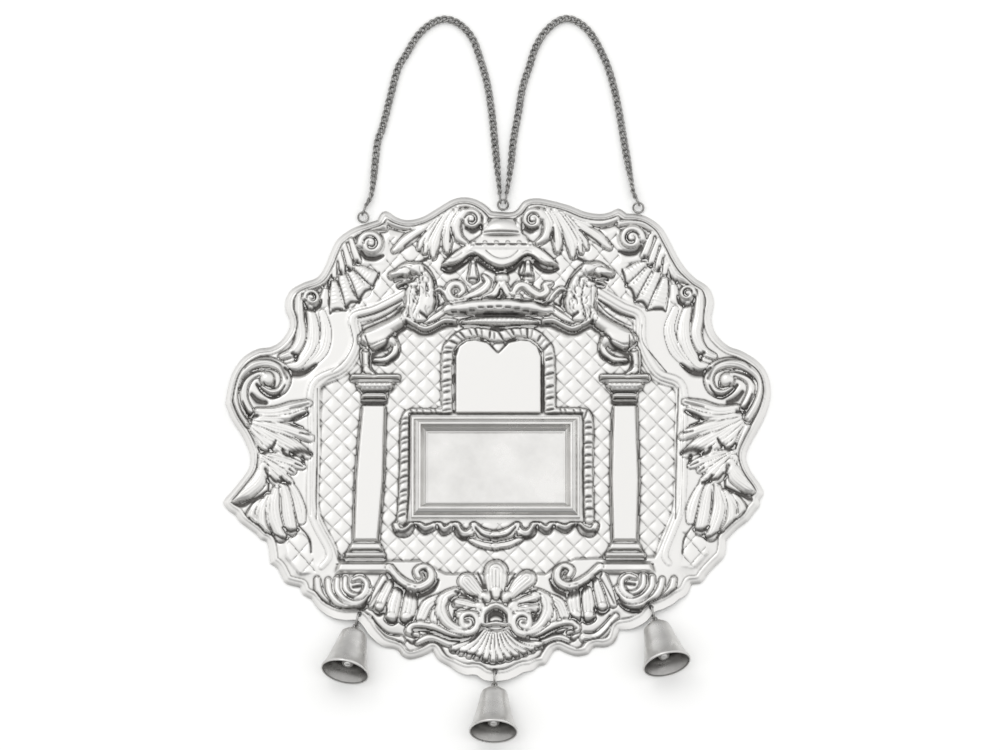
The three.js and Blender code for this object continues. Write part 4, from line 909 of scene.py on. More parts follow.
def shape_column(relief, top, foot):
    """A swelling shaft, with a beaded capital over it and a stepped base under it."""
    def across(y):
        return top[0] + (foot[0] - top[0]) * (y - top[1]) / (foot[1] - top[1])

    def block(upper, lower, half, lower_half, level, slope=1.6):
        relief.field([(across(upper) - half, upper), (across(upper) + half, upper),
                      (across(lower) + lower_half, lower), (across(lower) - lower_half, lower)], level, slope)

    def line(y, half, depth, width=1.0):
        relief.groove([(across(y) - half, y), (across(y) + half, y)], [width, width], depth)

    left_side = ((404, 12.5), (440, 14), (480, 15), (542, 13.5))
    right_side = ((542, 13), (480, 15), (440, 13.6), (404, 12.5))
    shaft = [(across(y) + side * half, y) for side, rows in ((-1, left_side), (1, right_side)) for y, half in rows]
    relief.field(shaft, COLUMN - 0.4, 3.2)
    block(374, 380, 25, 25, COLUMN + 0.2, 2)
    block(380, 394, 22, 12, FIGURE - 1.0, 3)
    for k in range(7):
        relief.bead((across(385.5) - 15 + 5 * k, 385.5), 2.6, FIGURE)
    line(379.8, 24, 1.6, 1.1)
    line(391, 12, 1.6, 1.5)
    block(394, 399, 13, 13, COLUMN, 2)
    line(401, 12, 2.2, 1.7)
    block(542, 551, 15, 18, COLUMN, 2.4)
    block(551, 558, 20, 21, COLUMN - 0.2, 2.4)
    block(560, 574, 27, 31, COLUMN - 0.6, 5)
    line(542.5, 14, 1.1, 1.0)
    line(551.3, 17, 1.1, 0.9)
    line(557.5, 20, 1.6, 1.3)
    line(563, 28, 0.7, 0.7)


def ladder(relief, line, half, level, pitch):
    """A narrow raised border with slanting cuts side by side across it."""
    relief.ridge(line, [half, half], level, power=0.3)
    route = smooth_curve(line, 6)
    gone = np.concatenate([[0], np.cumsum(np.linalg.norm(np.diff(route, axis=0), axis=1))])
    count = round(gone[-1] / pitch)
    for k in range(count):
        place = (k + 0.5 + 0.18 * math.sin(2.3 * k)) / count * gone[-1]
        x, y = np.interp(place, gone, route[:, 0]), np.interp(place, gone, route[:, 1])
        next_x, next_y = np.interp(place + 1, gone, route[:, 0]), np.interp(place + 1, gone, route[:, 1])
        ahead = np.array([next_x - x, next_y - y])
        ahead /= np.linalg.norm(ahead) + 1e-9
        out = np.array([-ahead[1], ahead[0]]) + 0.25 * ahead
        reach = half * (0.72 + 0.1 * math.sin(1.7 * k))
        relief.groove([(x - out[0] * reach, y - out[1] * reach), (x + out[0] * reach, y + out[1] * reach)],
                      [0.9, 1.5, 0.9], 1.3 + 0.4 * math.sin(3.1 * k))


def shape_architecture(relief):
    for top, foot in COLUMNS:
        shape_column(relief, top, foot)
    for line in PLAQUE_BORDERS:
        ladder(relief, line, 5.0, 4.6, 6.6)
    ladder(relief, TABLET_BORDER, 5.4, 4.8, 6.6)
    relief.field(TABLETS, 4.2, 2.4)
    relief.groove([*TABLETS], [0.9, 0.9], 0.9)
    chase_leaves(relief, PLAQUE_CURLS)
    chase_lines(relief, PLAQUE_CUTS)
    relief.field(PLAQUE_BED, 2.4, 2.0)


# Crown: dome, canopy with its scalloped edge, two pendants, curls, jewelled band and gadroons

DOME_NECK = [(482, 233), (522, 233), (533, 243), (536, 250), (468, 250), (471, 243)]
CANOPY = [(481, 232), (522, 232), (531, 241), (546, 251), (559, 264.5), (549, 266), (540, 263), (528, 256),
          (516, 264), (502, 269), (488, 264), (474, 255), (462, 262), (451, 266), (440, 265.5), (453, 252),
          (469, 241)]
CROWN_LEAVES = [
    [[(466, 298), (457, 301), (450, 297), (448, 290), (453, 284), (460, 285), (463, 291), (459, 295)],
     [3, 4.5, 4.5, 4, 4, 3.4, 2.4], 6.8, 1],
    [[(466, 297), (474, 294), (483, 289), (488, 282), (484, 276)], [3, 4, 5, 4, 2], 6.2, 1],
    [[(499, 286), (494, 294), (484, 298)], [4, 4.4, 3], 6.2, 1],
    [[(504, 286), (509, 294), (519, 297)], [4, 4.4, 3], 6.2, 1],
    [[(513, 293), (518, 286), (525, 285), (532, 291), (540, 295), (547, 291), (545, 285), (551, 283)],
     [3, 4, 4.4, 4.4, 4.4, 4, 3, 2], 6.4, 1],
    [[(473, 262), (473, 271), (473, 277)], [2, 4, 5.4], 6.2, 1],
    [[(528, 262), (528, 271), (528, 277)], [2, 4.4, 6], 6.4, 1],
    [[(449, 309), (474, 306), (500, 305), (526, 306), (548, 310)], [6, 7.5, 8, 7.5, 6], 7.4, 0],
    [[(463, 322), (482, 321), (500, 321), (520, 321), (537, 322)], [2.4, 4.4, 5, 4.4, 2.4], 6.6, 0],
]
CROWN_CUTS = [
    [[(484, 232), (500, 232), (518, 232)], [0.8, 1.2, 1.0], 1.5],
    [[(476, 244.5), (500, 244.5), (526, 244.5)], [0.8, 0.9, 0.8], 1.3],
    [[(442, 268), (450, 270.5), (460, 265), (470, 257.5), (476, 258), (483, 263), (491, 268), (502, 271.5),
      (513, 268), (520, 262), (528, 257.5), (534, 262), (541, 268), (550, 270.5), (558, 268)],
     [1.6, 2.6, 2.6, 2.8, 3, 3.2, 2.6, 2.8, 2.8, 3.2, 3, 2.8, 2.6, 2.2, 1.4], 2.3],
    [[(483, 257), (491, 263), (502, 266), (513, 263), (522, 257)], [0.7, 0.7], 0.7],
    [[(486, 251), (494, 257), (502, 259), (511, 257), (518, 251)], [0.7, 0.7], 0.6],
    [[(444, 262), (452, 263.5), (460, 259)], [0.8, 0.8], 0.7],
    [[(447, 256), (454, 258), (462, 253)], [0.7, 0.7], 0.6],
    [[(541, 259), (549, 263.5), (556, 262)], [0.8, 0.8], 0.7],
    [[(467, 253), (471, 251), (476, 253)], [0.7, 0.7], 0.6],
    [[(523, 253), (527, 251), (532, 253)], [0.7, 0.7], 0.6],
    [[(468, 278.5), (478, 279)], [1.4, 1.4], 1.6],
    [[(524, 275.5), (531, 275.5)], [2.2, 2.2], 1.8],
    [[(521, 264), (519, 271), (522, 277)], [1, 1.6, 1], 1.4],
    [[(500, 290), (500, 296)], [1.2, 2.8], 2.0],
    [[(480, 299), (490, 297.5), (500, 299)], [1, 1.4, 1], 1.4],
    [[(512, 299), (522, 301.5), (531, 301)], [1.4, 2, 1.4], 1.8],
    [[(538, 303), (544, 304.5), (549, 304)], [2.2, 4, 3.4], 2.2],
    [[(451, 304.5), (475, 300), (500, 299), (525, 300), (546, 304.5)], [0.9, 0.9], 1.0],
    [[(452, 313), (476, 311.5), (500, 311), (524, 311.5), (546, 314)], [0.8, 0.8], 0.8],
    [[(461, 321), (470, 317.5), (484, 315), (500, 314.4), (516, 315), (530, 317.5), (541, 321)],
     [1.2, 2.2, 2.6, 2.6, 2.6, 2.2, 1.2], 2.1],
    [[(461, 324), (480, 326.5), (500, 327), (520, 326.5), (540, 323)], [1.3, 1.5, 1.5, 1.5, 1.3], 1.6],
]
# Jewels along the crown's band
JEWELS = [(454, 312), (463, 312.5), (472, 310.5), (481, 308.5), (490, 308), (499, 307.5), (508, 308.3),
          (517, 309.3), (526, 311), (535, 313)]


def shape_crown(relief):
    relief.field(CANOPY, (4.8, 7.8), 3, smooth=True)
    relief.bead((502, 232), 20.5, 7.6, 0.8)
    relief.field(DOME_NECK, (5.0, 7.0), 3)
    chase_leaves(relief, CROWN_LEAVES, one_half)
    relief.bead((502, 278), 7, 6.6)
    for k in range(6):
        relief.bead((473.5 + 11.4 * k, 244), 2.6, 7.6)
    relief.bead((473, 262), 2.6, 7.0)
    relief.bead((528, 262), 3.4, 7.2)
    relief.rungs([(464, 322), (500, 321.5), (536, 322)], [4, 5, 4], 17, 0.5)
    chase_lines(relief, CROWN_CUTS, one_half)
    for x, y in JEWELS:
        relief.groove([(x - 2.2, y), (x + 2.2, y)], [1.2, 1.2], 1.3)


# The left lion, which holds the crown: legs, haunch, trunk, mane, neck, head and jaw

LION = [
    [[(390, 338), (395, 345), (394, 353), (386, 359), (375, 360)], [4, 4.5, 4.5, 3.5, 2.5], 5.8, 1],
    [[(366, 352), (366, 362), (367, 371)], [5, 4, 4], 6.4, 0],
    [[(366, 370), (370, 372), (374, 374)], [3.4, 3, 2.4], 6.2, 0],
    [[(364, 339), (374, 341), (388, 339)], [6, 10, 9], 7.2, 0],
    [[(370, 336), (383, 330), (396, 323), (406, 316)], [9, 9, 8, 8], 7.1, 0],
    [[(409, 320), (423, 328), (430, 327), (444, 320.5), (455, 321)], [3, 3.6, 3.6, 3.2, 2.4], 6.4, 0],
    [[(416, 317), (427, 321), (438, 315.5), (449, 307)], [4, 4.4, 4.2, 3.4], 6.9, 1],
    [[(431, 291), (440, 289), (446, 295), (449, 301), (454, 304)], [2, 2.6, 2.4, 2.4, 2], 6.4, 0],
    [[(412, 288), (413, 302), (412, 316)], [6, 8, 11], 7.1, 0],
    [[(420, 280), (419, 296), (419, 313)], [6, 9, 10], 7.3, 0],
    [[(419, 268), (426, 277), (428, 290), (427, 304), (420, 316)], [6, 7, 8, 9, 7], 7.4, 0],
    [[(417, 269), (409, 268), (402, 271)], [7, 7, 6], 7.6, 0],
    [[(405, 273), (398, 273.5), (392, 275)], [5, 4.6, 3.6], 7.8, 0],
    [[(414, 284), (407, 283), (399, 285)], [3.4, 2.4, 1.8], 7.0, 0],
]
LION_CUTS = [
    [[(394.8, 280.7), (399, 278), (403, 275.7)], [1.2, 1.8, 1.0], 1.8],
    [[(399.8, 286.5), (405, 284), (413, 281.5)], [1.6, 2.0, 1.0], 2.2],
    [[(408, 278.6), (412, 278.5), (416.3, 277.4)], [0.7, 1.4, 0.9], 1.7],
    [[(401, 268.5), (406, 266), (412, 267)], [0.7, 0.7, 0.7], 0.8],
    [[(406, 322), (404.7, 326), (396.4, 332.9), (389, 337.5), (386, 345), (379, 350), (370, 357)],
     [1.6, 2.2, 2.4, 1.6, 2.2, 2.2, 1.4], 2.0],
    [[(408, 324.5), (415, 329.5), (423, 333), (433, 331.3), (444.5, 324.8), (456, 325)],
     [1.6, 2.4, 2.6, 2.6, 2.4, 1.4], 2.2],
    [[(421, 313.5), (426.5, 317.5)], [1.4, 1.6], 2.0],
    [[(428, 323.6), (436, 321), (446, 315)], [0.8, 0.9, 0.7], 1.2],
    [[(424.6, 268), (430.5, 275), (434, 282), (434.5, 290)], [0.9, 1.1, 1.7, 1.3], 1.8],
    [[(434.5, 296), (438, 301.5), (434.5, 308)], [1.2, 2.0, 1.4], 2.0],
    [[(436, 306), (441, 304), (446, 302)], [1.2, 1.1, 0.9], 1.8],
    [[(418, 263), (424, 259), (430, 256.5)], [1.2, 1.6, 1.4], 1.8],
    [[(365, 336), (367.4, 343), (370, 349.5), (366.6, 352), (362.4, 350.3)], [0.7, 0.9, 1.1, 1.1, 0.9], 1.4],
    [[(362, 354), (362.4, 366), (363.3, 372)], [0.8, 0.8, 0.8], 1.2],
    [[(370, 360), (370.7, 367), (375.7, 373.6)], [1.0, 1.3, 1.0], 1.7],
    [[(399, 348.7), (397.3, 354), (391.5, 359), (385, 363.2), (373.2, 361.5)], [0.9, 1.3, 1.5, 1.4, 0.9], 1.8],
    [[(396, 314.5), (383, 320.5), (367, 327), (362, 333), (361, 341), (361, 350)], [0.7, 0.9, 0.9, 0.9], 1.2],
]
# The mane's outline, which the locks fill
MANE = [(419, 266), (429, 276), (432, 290), (432, 303), (427, 313), (417, 321), (404, 320), (401, 315), (408, 306),
        (407, 296), (413, 288), (418, 280)]
LOCKS = 34
LOCK_SEEDS = (5, 6)


def locks(relief, area, count, seed, side):
    """Short curling cuts that part the locks of a mane."""
    chance = np.random.default_rng(seed)
    line = np.array(area, float)
    made = 0
    while made < count:
        x, y = chance.uniform(line.min(axis=0), line.max(axis=0))
        if not inside_line(np.array([[x]]), np.array([[y]]), line)[0, 0]:
            continue
        made += 1
        turn = chance.uniform(1.0, 2.2)
        size = chance.uniform(3.0, 5.0)
        bend = chance.choice([-1, 1]) * chance.uniform(0.6, 1.3)
        way = np.array([math.cos(turn) * side, math.sin(turn)])
        aside = np.array([-way[1], way[0]])
        middle = np.array([x, y])
        relief.groove([middle - size * way, middle + bend * aside, middle + size * way - 0.6 * bend * aside],
                      [0.7, 1.2, 0.7], 0.7)


def shape_lions(relief):
    chase_leaves(relief, LION)
    chase_lines(relief, LION_CUTS)
    for area, seed, side in zip(both_halves(MANE), LOCK_SEEDS, (-1, 1)):
        locks(relief, area, LOCKS, seed, side)


# Foot: the ledge's scrolls, the lower scrolls and fringe, and the shell between two spirals

FOOT_LEAVES = [
    [[(390, 567), (398, 577), (409, 584.5), (420, 586), (430, 580), (431, 571), (424, 566), (417, 570),
      (419, 576)],
     [4, 5, 5, 4.5, 4, 3.5, 3], 7.0, 1],
    [[(318, 578), (320, 590), (328, 601)], [3, 4, 3], 4.8, 0],
    [[(329, 579), (330, 590), (337, 600), (347, 606), (358, 606), (367, 601)], [3, 4, 4, 4, 3], 5.4, 0],
    [[(338, 578), (338, 589), (345, 598), (355, 602), (365, 598), (371, 589)], [3, 3.6, 4, 4, 3], 5.8, 0],
    [[(346, 577), (346, 587), (351, 594), (360, 596), (366, 590), (367, 582), (361, 577), (354, 579)],
     [3, 3.4, 3.6, 3.4, 3, 2.4], 6.2, 0],
    [[(385, 577), (378, 591), (372, 604)], [4, 4.6, 4], 5.4, 0],
    [[(392, 580), (386, 593), (380, 606)], [4, 5, 5], 5.8, 1],
    [[(398, 590), (394, 603), (392, 616)], [5.5, 7, 6.5], 6.0, 2],
    [[(411, 591), (410, 604), (407, 616)], [6, 7.5, 7], 6.0, 2],
    [[(441, 596), (428, 603), (421, 617)], [4, 6, 5], 5.4, 2],
    [[(446, 600), (436, 611), (434, 623)], [3, 5, 4], 5.6, 1],
    [[(368, 616), (374, 626), (386, 636), (401, 638)], [3, 5, 5, 5], 4.2, 2],
    [[(418, 633), (409, 630), (412, 624), (422, 623), (436, 626), (450, 632), (466, 633), (478, 628)],
     [3, 3.4, 3.4, 3.6, 3.6, 3, 2], 5.8, 0],
    [[(418, 640), (432, 635), (450, 641), (466, 642), (480, 636)], [3, 4, 4, 4, 3], 4.6, 0],
    [[(456, 590), (444, 597), (442, 611), (451, 624), (465, 629), (477, 622), (478, 612), (469, 608), (461, 613),
      (463, 621)], [4, 6, 6, 5, 4.4, 4, 3.4, 3, 2.6], 6.6, 1],
]
FOOT_CUTS = [
    [[(389, 574), (399, 586), (414, 594), (430, 590), (438, 579)], [2, 3.4, 3.8, 3.4, 1.6], 2.4],
    [[(422, 570), (426, 569), (425, 574)], [1.4, 1.8, 1.2], 1.4],
    [[(320, 596), (332, 606), (346, 611), (360, 609), (370, 597)], [1.6, 3, 3.6, 3.6, 2], 2.2],
    [[(345, 592), (354, 597), (362, 592)], [0.8, 1.4, 0.8], 1.2],
    [[(354, 586), (361, 585)], [1.6, 1.6], 1.6],
    [[(371, 604), (379, 591), (386, 580)], [1.6, 0.9, 0.8], 1.2],
    [[(375, 609), (380, 613), (386, 609)], [2, 2.6, 2], 2.0],
    [[(386, 618), (393, 621.5), (399, 618)], [1.6, 2.2, 1.4], 2.0],
    [[(400, 619), (406, 621.5), (414, 616)], [1.4, 2.2, 1.4], 2.0],
    [[(373, 615), (379, 625), (389, 632), (400, 633.5)], [1, 1.3, 1.3, 1], 1.2],
    [[(371, 623), (377, 632), (387, 639), (400, 641)], [1, 1.5, 1.5, 1], 1.4],
    [[(412, 633), (416, 628.5), (425, 627.5), (437, 631), (449, 636), (461, 637.5), (473, 635), (482, 627)],
     [1.2, 1.6, 1.6, 2, 2.6, 2.8, 2.6, 1.4], 2.0],
    [[(408, 638), (413, 641), (417, 637), (413, 634)], [1, 1.6, 1, 1], 1.4],
    [[(402, 641), (405, 647), (412, 650), (420, 648), (428, 642), (434, 641), (441, 645), (447, 654), (454, 659)],
     [1.2, 1.6, 1.8, 1.8, 1.4, 1.4, 1.4, 1.4, 1.2], 1.3],
    [[(466, 621), (471, 622)], [2.2, 2.2], 1.6],
    [[(455, 612), (462, 606.5), (472, 606.5)], [1, 1.4, 1], 1.2],
]
# Round ends of the fringe's tassels, the left half
TASSEL_ENDS = [(380, 606), (392, 615), (407, 615)]
TASSEL_RADIUS = 5
# Spirals on both sides of the shell
SPIRALS = [(468, 621), (523, 621.5)]
SPIRAL_RADIUS = 15
# Dark underside of each wave that ends in a spiral, from the middle outwards
WAVE_SHADE = [(14, 628), (22, 637), (34, 638.5), (49, 635), (66, 630), (80, 627)]
# Centre of the arch under the shell
ARCH_CENTRE = (496, 617)
# Lobes of the shell: the middle line, its half widths and its strands
SHELL_LOBES = [
    [[(496, 592), (496, 580), (496, 570)], [8, 11, 12], 5],
    [[(482, 596), (473, 587), (467, 580)], [5, 8, 9], 4],
    [[(478, 606), (467, 603), (457, 601)], [4, 5.5, 5], 3],
    [[(478, 612), (468, 612), (458, 613)], [3, 4, 3.6], 2],
    [[(510, 594), (519, 584), (527, 577)], [5, 8, 9], 4],
    [[(515, 603), (526, 599), (535, 596)], [4, 6, 5], 3],
    [[(516, 609), (526, 607.5), (536, 607)], [3, 4.4, 4], 2],
]
# Lines that part the shell's lobes
SHELL_CUTS = [
    [[(485, 588), (481, 578), (478, 571)], [1.6, 1.4, 0.9], 1.6],
    [[(507, 588), (511, 579), (515, 572)], [1.6, 1.4, 0.9], 1.6],
    [[(477, 596), (466, 594), (456, 591)], [1.8, 2, 1.6], 1.8],
    [[(475, 608), (465, 609), (455, 609)], [1.4, 1.4, 1.2], 1.6],
    [[(456, 597), (453, 600), (455, 604)], [1, 1.3, 1], 1.4],
    [[(518, 596.5), (527, 592.5), (537, 589)], [1.4, 1.7, 1.3], 1.8],
    [[(519, 603.5), (528, 602), (538, 601)], [1.2, 1.5, 1.2], 1.6],
    [[(533, 618), (537, 613), (538, 608)], [2, 1.8, 1.2], 1.6],
    [[(455, 618), (456, 613)], [1.8, 1.4], 1.6],
]
# Round knobs over the arch
SHELL_KNOBS = [(481, 605), (486.5, 596), (496, 592), (506, 596), (512, 605)]
# Flutes of the fan below the arch, and the line under their tips
FAN_FLUTES = 12
FAN_EDGE = [(451, 648.5), (462.5, 650.5), (476.5, 654.5), (491.8, 661.5), (506, 658.5), (525, 652), (543, 643)]


def shape_shell(relief):
    """The shell: fluted lobes round five knobs, an arch with a dark hollow, and a fan below it."""
    for line, halves, strands in SHELL_LOBES:
        relief.leaf(line, halves, 6.4, strands=strands, depth=0.6, edge=0.9)
    chase_lines(relief, SHELL_CUTS, one_half)
    for knob in SHELL_KNOBS:
        relief.bead(knob, 6.5, 6.9)
    for knob, after in zip(SHELL_KNOBS, SHELL_KNOBS[1:]):
        middle = np.add(knob, after) / 2
        centre = np.array(ARCH_CENTRE)
        relief.groove([centre + 0.5 * (middle - centre), middle + 0.1 * (middle - centre)], [1.4, 1.8], 1.4)
    x, y = ARCH_CENTRE
    for k in range(FAN_FLUTES):
        share = k / (FAN_FLUTES - 1)
        root = (x - 12 + 24 * share, y + 11 + 3 * math.sin(math.pi * share))
        tip = (x - 42 + 86 * share, y + 30 + 12 * math.sin(math.pi * share) - 4 * share)
        middle = (root[0] + 0.45 * (tip[0] - root[0]), root[1] + 0.6 * (tip[1] - root[1]))
        relief.leaf([root, middle, tip], [1.6, 3.4, 3.6], 5.4, strands=1, depth=0.4, edge=0.8)
    relief.groove(FAN_EDGE, [1.2, 1.8, 1.8, 1.2], 1.6)
    arch = [(x - 13, y + 5), (x - 12, y - 6), (x, y - 13), (x + 12, y - 6), (x + 13, y + 5)]
    relief.ridge(arch, [3.4, 3.8, 3.4], 7.4, power=0.7)
    hollow = [(x - 9.5, y + 4), (x - 7, y - 2), (x, y - 5), (x + 7, y - 2), (x + 9.5, y + 4)]
    relief.groove(hollow, [2, 3.6, 2], 2.0)
    relief.ridge([(x - 10, y + 6.5), (x, y + 5), (x + 10, y + 6.5)], [1.6, 2.4, 1.6], 6.8)


def shape_foot(relief):
    chase_leaves(relief, FOOT_LEAVES)
    chase_lines(relief, FOOT_CUTS)
    for centre in TASSEL_ENDS:
        for place in both_halves([centre]):
            relief.bead(place[0], TASSEL_RADIUS, 6.4, 0.8)
    shape_shell(relief)
    for way, centre in zip((-1, 1), SPIRALS):
        relief.volute(centre, SPIRAL_RADIUS, 1.35 * way, math.pi / 2, FIGURE, band=0.3, eye=0.2)
        shade = [(ARCH_CENTRE[0] + way * x, y) for x, y in WAVE_SHADE]
        relief.groove(shade, [1.0, 2.0, 2.6, 2.2, 1.2], 1.5)


def from_holes(x, y):
    """Distance to the nearest of the bells' holes."""
    return np.min([np.hypot(x - hx, y - hy) for hx, hy in RING_HOLES], axis=0)


def ring_lift(nearest):
    """How far the rim stands over the table near a hole, which leaves room for the ring's wire."""
    return RING_LIFT * (1 - ease((nearest - RING_REACH / 2) / RING_REACH))


def shape_sheet(relief):
    """Raises the whole relief, the lowest forms first."""
    nearest = from_holes(relief.x, relief.y)
    away = ease((nearest - RING_REACH * 0.6) / RING_REACH)
    width = RIM_AT_RINGS + (RIM_PIXELS - RIM_AT_RINGS) * away
    past = relief.depth - width
    slope = ease(past / 18)
    relief.height[:] = np.where(past > 0, GROUND + (SURROUND - GROUND) * slope, GROUND)
    shape_ground(relief)
    shape_surround(relief)
    shape_architecture(relief)
    shape_lions(relief)
    shape_crown(relief)
    shape_foot(relief)
    shape_rim(relief, width, away)
    relief.lift = ring_lift(nearest)
    relief.height += relief.lift


def shape_rim(relief, width, away):
    """The rolled rim, flat only where a bell's ring passes through, and the bead inside it."""
    past = relief.depth - width
    rim = THICKNESS + RIM_ROLL * away * (1 - (1 - np.clip(relief.depth / width, 0, 1)) ** 2)
    height = rim + (relief.height - rim) * ease(past / 3)
    bead = np.clip(1 - (past / 1.5) ** 2, 0, 1)
    relief.height = np.maximum(height, rim + BEAD_HEIGHT * bead ** 0.6)
    relief.line_patina_and_shade *= past > 0
    # A dark line painted just inside the bead: painted shade at its foot, and patina
    relief.line_patina_and_shade = np.maximum(relief.line_patina_and_shade, 0.35 * np.exp(-((past - 1.9) / 0.8) ** 2))


# The sheet's mesh

def sheet_grid(relief, edge_line, spacing):
    """Cells of the grid inside the outline, with their border drawn out to it.

    Gives the points in pixels, the quads, and which grid point each point came from."""
    middle_x = (relief.xs[:-1] + relief.xs[1:]) / 2
    middle_y = (relief.ys[:-1] + relief.ys[1:]) / 2
    x, y = np.meshgrid(middle_x, middle_y)
    kept = inside_line(x, y, edge_line)
    for hole in RING_HOLES:
        kept &= np.hypot(x - hole[0], y - hole[1]) > HOLE_RADIUS
    rows, columns = relief.x.shape
    touched = np.zeros((rows, columns), int)
    for dj in (0, 1):
        for di in (0, 1):
            touched[dj:rows - 1 + dj, di:columns - 1 + di] += kept
    used = touched > 0
    numbers = np.full((rows, columns), -1)
    numbers[used] = np.arange(used.sum())
    px, py = relief.x[used].copy(), relief.y[used].copy()
    border = touched[used] < 4
    bx, by = px[border], py[border]
    best = np.full(bx.shape, FAR)
    near_x, near_y = bx.copy(), by.copy()
    for ring in (edge_line, *hole_rings()):
        for (ax, ay), (cx, cy) in zip(ring, np.roll(ring, -1, axis=0)):
            dx, dy = cx - ax, cy - ay
            share = np.clip(((bx - ax) * dx + (by - ay) * dy) / (dx * dx + dy * dy + TINY), 0, 1)
            qx, qy = ax + share * dx, ay + share * dy
            gone = np.hypot(bx - qx, by - qy)
            nearer = gone < best
            best[nearer] = gone[nearer]
            near_x[nearer], near_y[nearer] = qx[nearer], qy[nearer]
    px[border], py[border] = near_x, near_y
    j, i = np.nonzero(kept)
    quads = np.stack([numbers[j, i], numbers[j + 1, i], numbers[j + 1, i + 1], numbers[j, i + 1]], axis=1)
    return px, py, quads, used, border


def edge_wall(edge_line):
    """The cut edge of the sheet and of its holes, from the front face to the back."""
    points, faces = [], []
    for number, ring in enumerate((edge_line, *hole_rings())):
        start = len(points)
        count = len(ring)
        for x, y in ring:
            lift = ring_lift(from_holes(x, y))
            points.append(on_sheet((x, y), (THICKNESS + lift) * MM))
            points.append(on_sheet((x, y), lift * MM))
        for k in range(count):
            a, b = start + 2 * k, start + 2 * ((k + 1) % count)
            faces.append((a, b, b + 1, a + 1) if number else (a, a + 1, b + 1, b))
    return points, faces


class SHIELD_OT_sheet(bpy.types.Operator):
    """Build the chased sheet: its front relief, its hollow back and its cut edge"""

    bl_idname = "shield.sheet"
    bl_label = "Chased sheet"

    def execute(self, context):
        sizes = context.scene.shield_sizes
        front = Relief(sizes.grid_spacing / PIXEL_X)
        shape_sheet(front)
        front_parts = self.face(front, front.height, False)
        back = Relief(sizes.back_spacing / PIXEL_X)
        shape_sheet(back)
        hollow = np.maximum(back.lift, back.blur(back.height, 1) - THICKNESS)
        hollow = np.where(back.depth < RIM_AT_RINGS - 2.2, back.lift, hollow)
        back_parts = self.face(back, hollow, True)
        wall_points, wall_faces = edge_wall(front.outline)
        self.build(front_parts, back_parts, wall_points, wall_faces)
        return {"FINISHED"}

    def face(self, relief, height, under):
        px, py, quads, used, border = sheet_grid(relief, relief.outline, relief.step)
        z = height[used]
        lift = relief.lift[used]
        z[border] = lift[border] + (0 if under else THICKNESS)
        # Points lower than their neighbourhood, and the chased lines, get the dark colour: partly patina, partly
        # painted shade
        smooth = relief.blur(relief.height, max(2, round(3.4 / relief.step)))
        near = relief.blur(relief.height, max(1, round(1.4 / relief.step)))
        hollow = np.clip((smooth - relief.height) * 0.8, 0, 1) + np.clip((near - relief.height) * 1.5, 0, 1)
        hollow = hollow + relief.line_patina_and_shade
        patina_and_shade = np.clip(hollow, 0, 1)[used]
        patina_and_shade[border] = 0.1
        points = np.stack([sheet_low.x + (px - LEFT_PIXEL) * PIXEL_X,
                           sheet_low.y + (BOTTOM_PIXEL - py) * PIXEL_Y, z * MM], axis=1)
        if under:
            quads = quads[:, ::-1]
            # The back is painted darker where it sits low over the table: painted shade under the sheet
            patina_and_shade = 0.35 + 0.4 * (1 - np.clip(z / 3, 0, 1))
        return points, quads, patina_and_shade

    def build(self, front, back, wall_points, wall_faces):
        points = np.vstack([front[0], back[0], np.array(wall_points)])
        shift = len(front[0])
        wall_shift = shift + len(back[0])
        quads = np.vstack([front[1], back[1] + shift, np.array(wall_faces) + wall_shift])
        # The cut edge and the outline's border points get a faint, even share of the same darkening
        patina_and_shade = np.concatenate([front[2], back[2], np.full(len(wall_points), 0.15)])
        mesh = bpy.data.meshes.new("chased_sheet")
        mesh.vertices.add(len(points))
        mesh.vertices.foreach_set("co", points.astype(np.float32).ravel())
        mesh.loops.add(4 * len(quads))
        mesh.loops.foreach_set("vertex_index", quads.astype(np.int32).ravel())
        mesh.polygons.add(len(quads))
        mesh.polygons.foreach_set("loop_start", np.arange(0, 4 * len(quads), 4, dtype=np.int32))
        mesh.polygons.foreach_set("use_smooth", np.ones(len(quads), bool))
        mesh.update(calc_edges=True)
        mesh.validate()
        mark = mesh.attributes.new("patina_and_shade", "FLOAT", "POINT")
        mark.data.foreach_set("value", patina_and_shade.astype(np.float32))
        mesh.materials.append(material_of(chased_silver))
        piece = bpy.data.objects.new("chased_sheet", mesh)
        bpy.context.collection.objects.link(piece)
        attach(piece, "shield")
        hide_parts("shield_plate")


# Stepped frame and its plaque

# Moulding as shares of its width and height, from the outer edge inwards
MOULDING_SHARES = [(0, 0), (0, 0.3), (0.04, 0.36), (0.14, 0.38), (0.17, 0.44), (0.2, 0.6), (0.26, 0.74),
                   (0.34, 0.84), (0.42, 0.9), (0.46, 0.98), (0.52, 1.0), (0.58, 0.98), (0.61, 0.9),
                   (0.64, 0.8), (0.7, 0.66), (0.78, 0.52), (0.86, 0.42), (0.89, 0.38), (0.92, 0.3), (1, 0.26),
                   (1, 0.05), (1, 0)]
MOULDING_WIDTH = 8 * MM


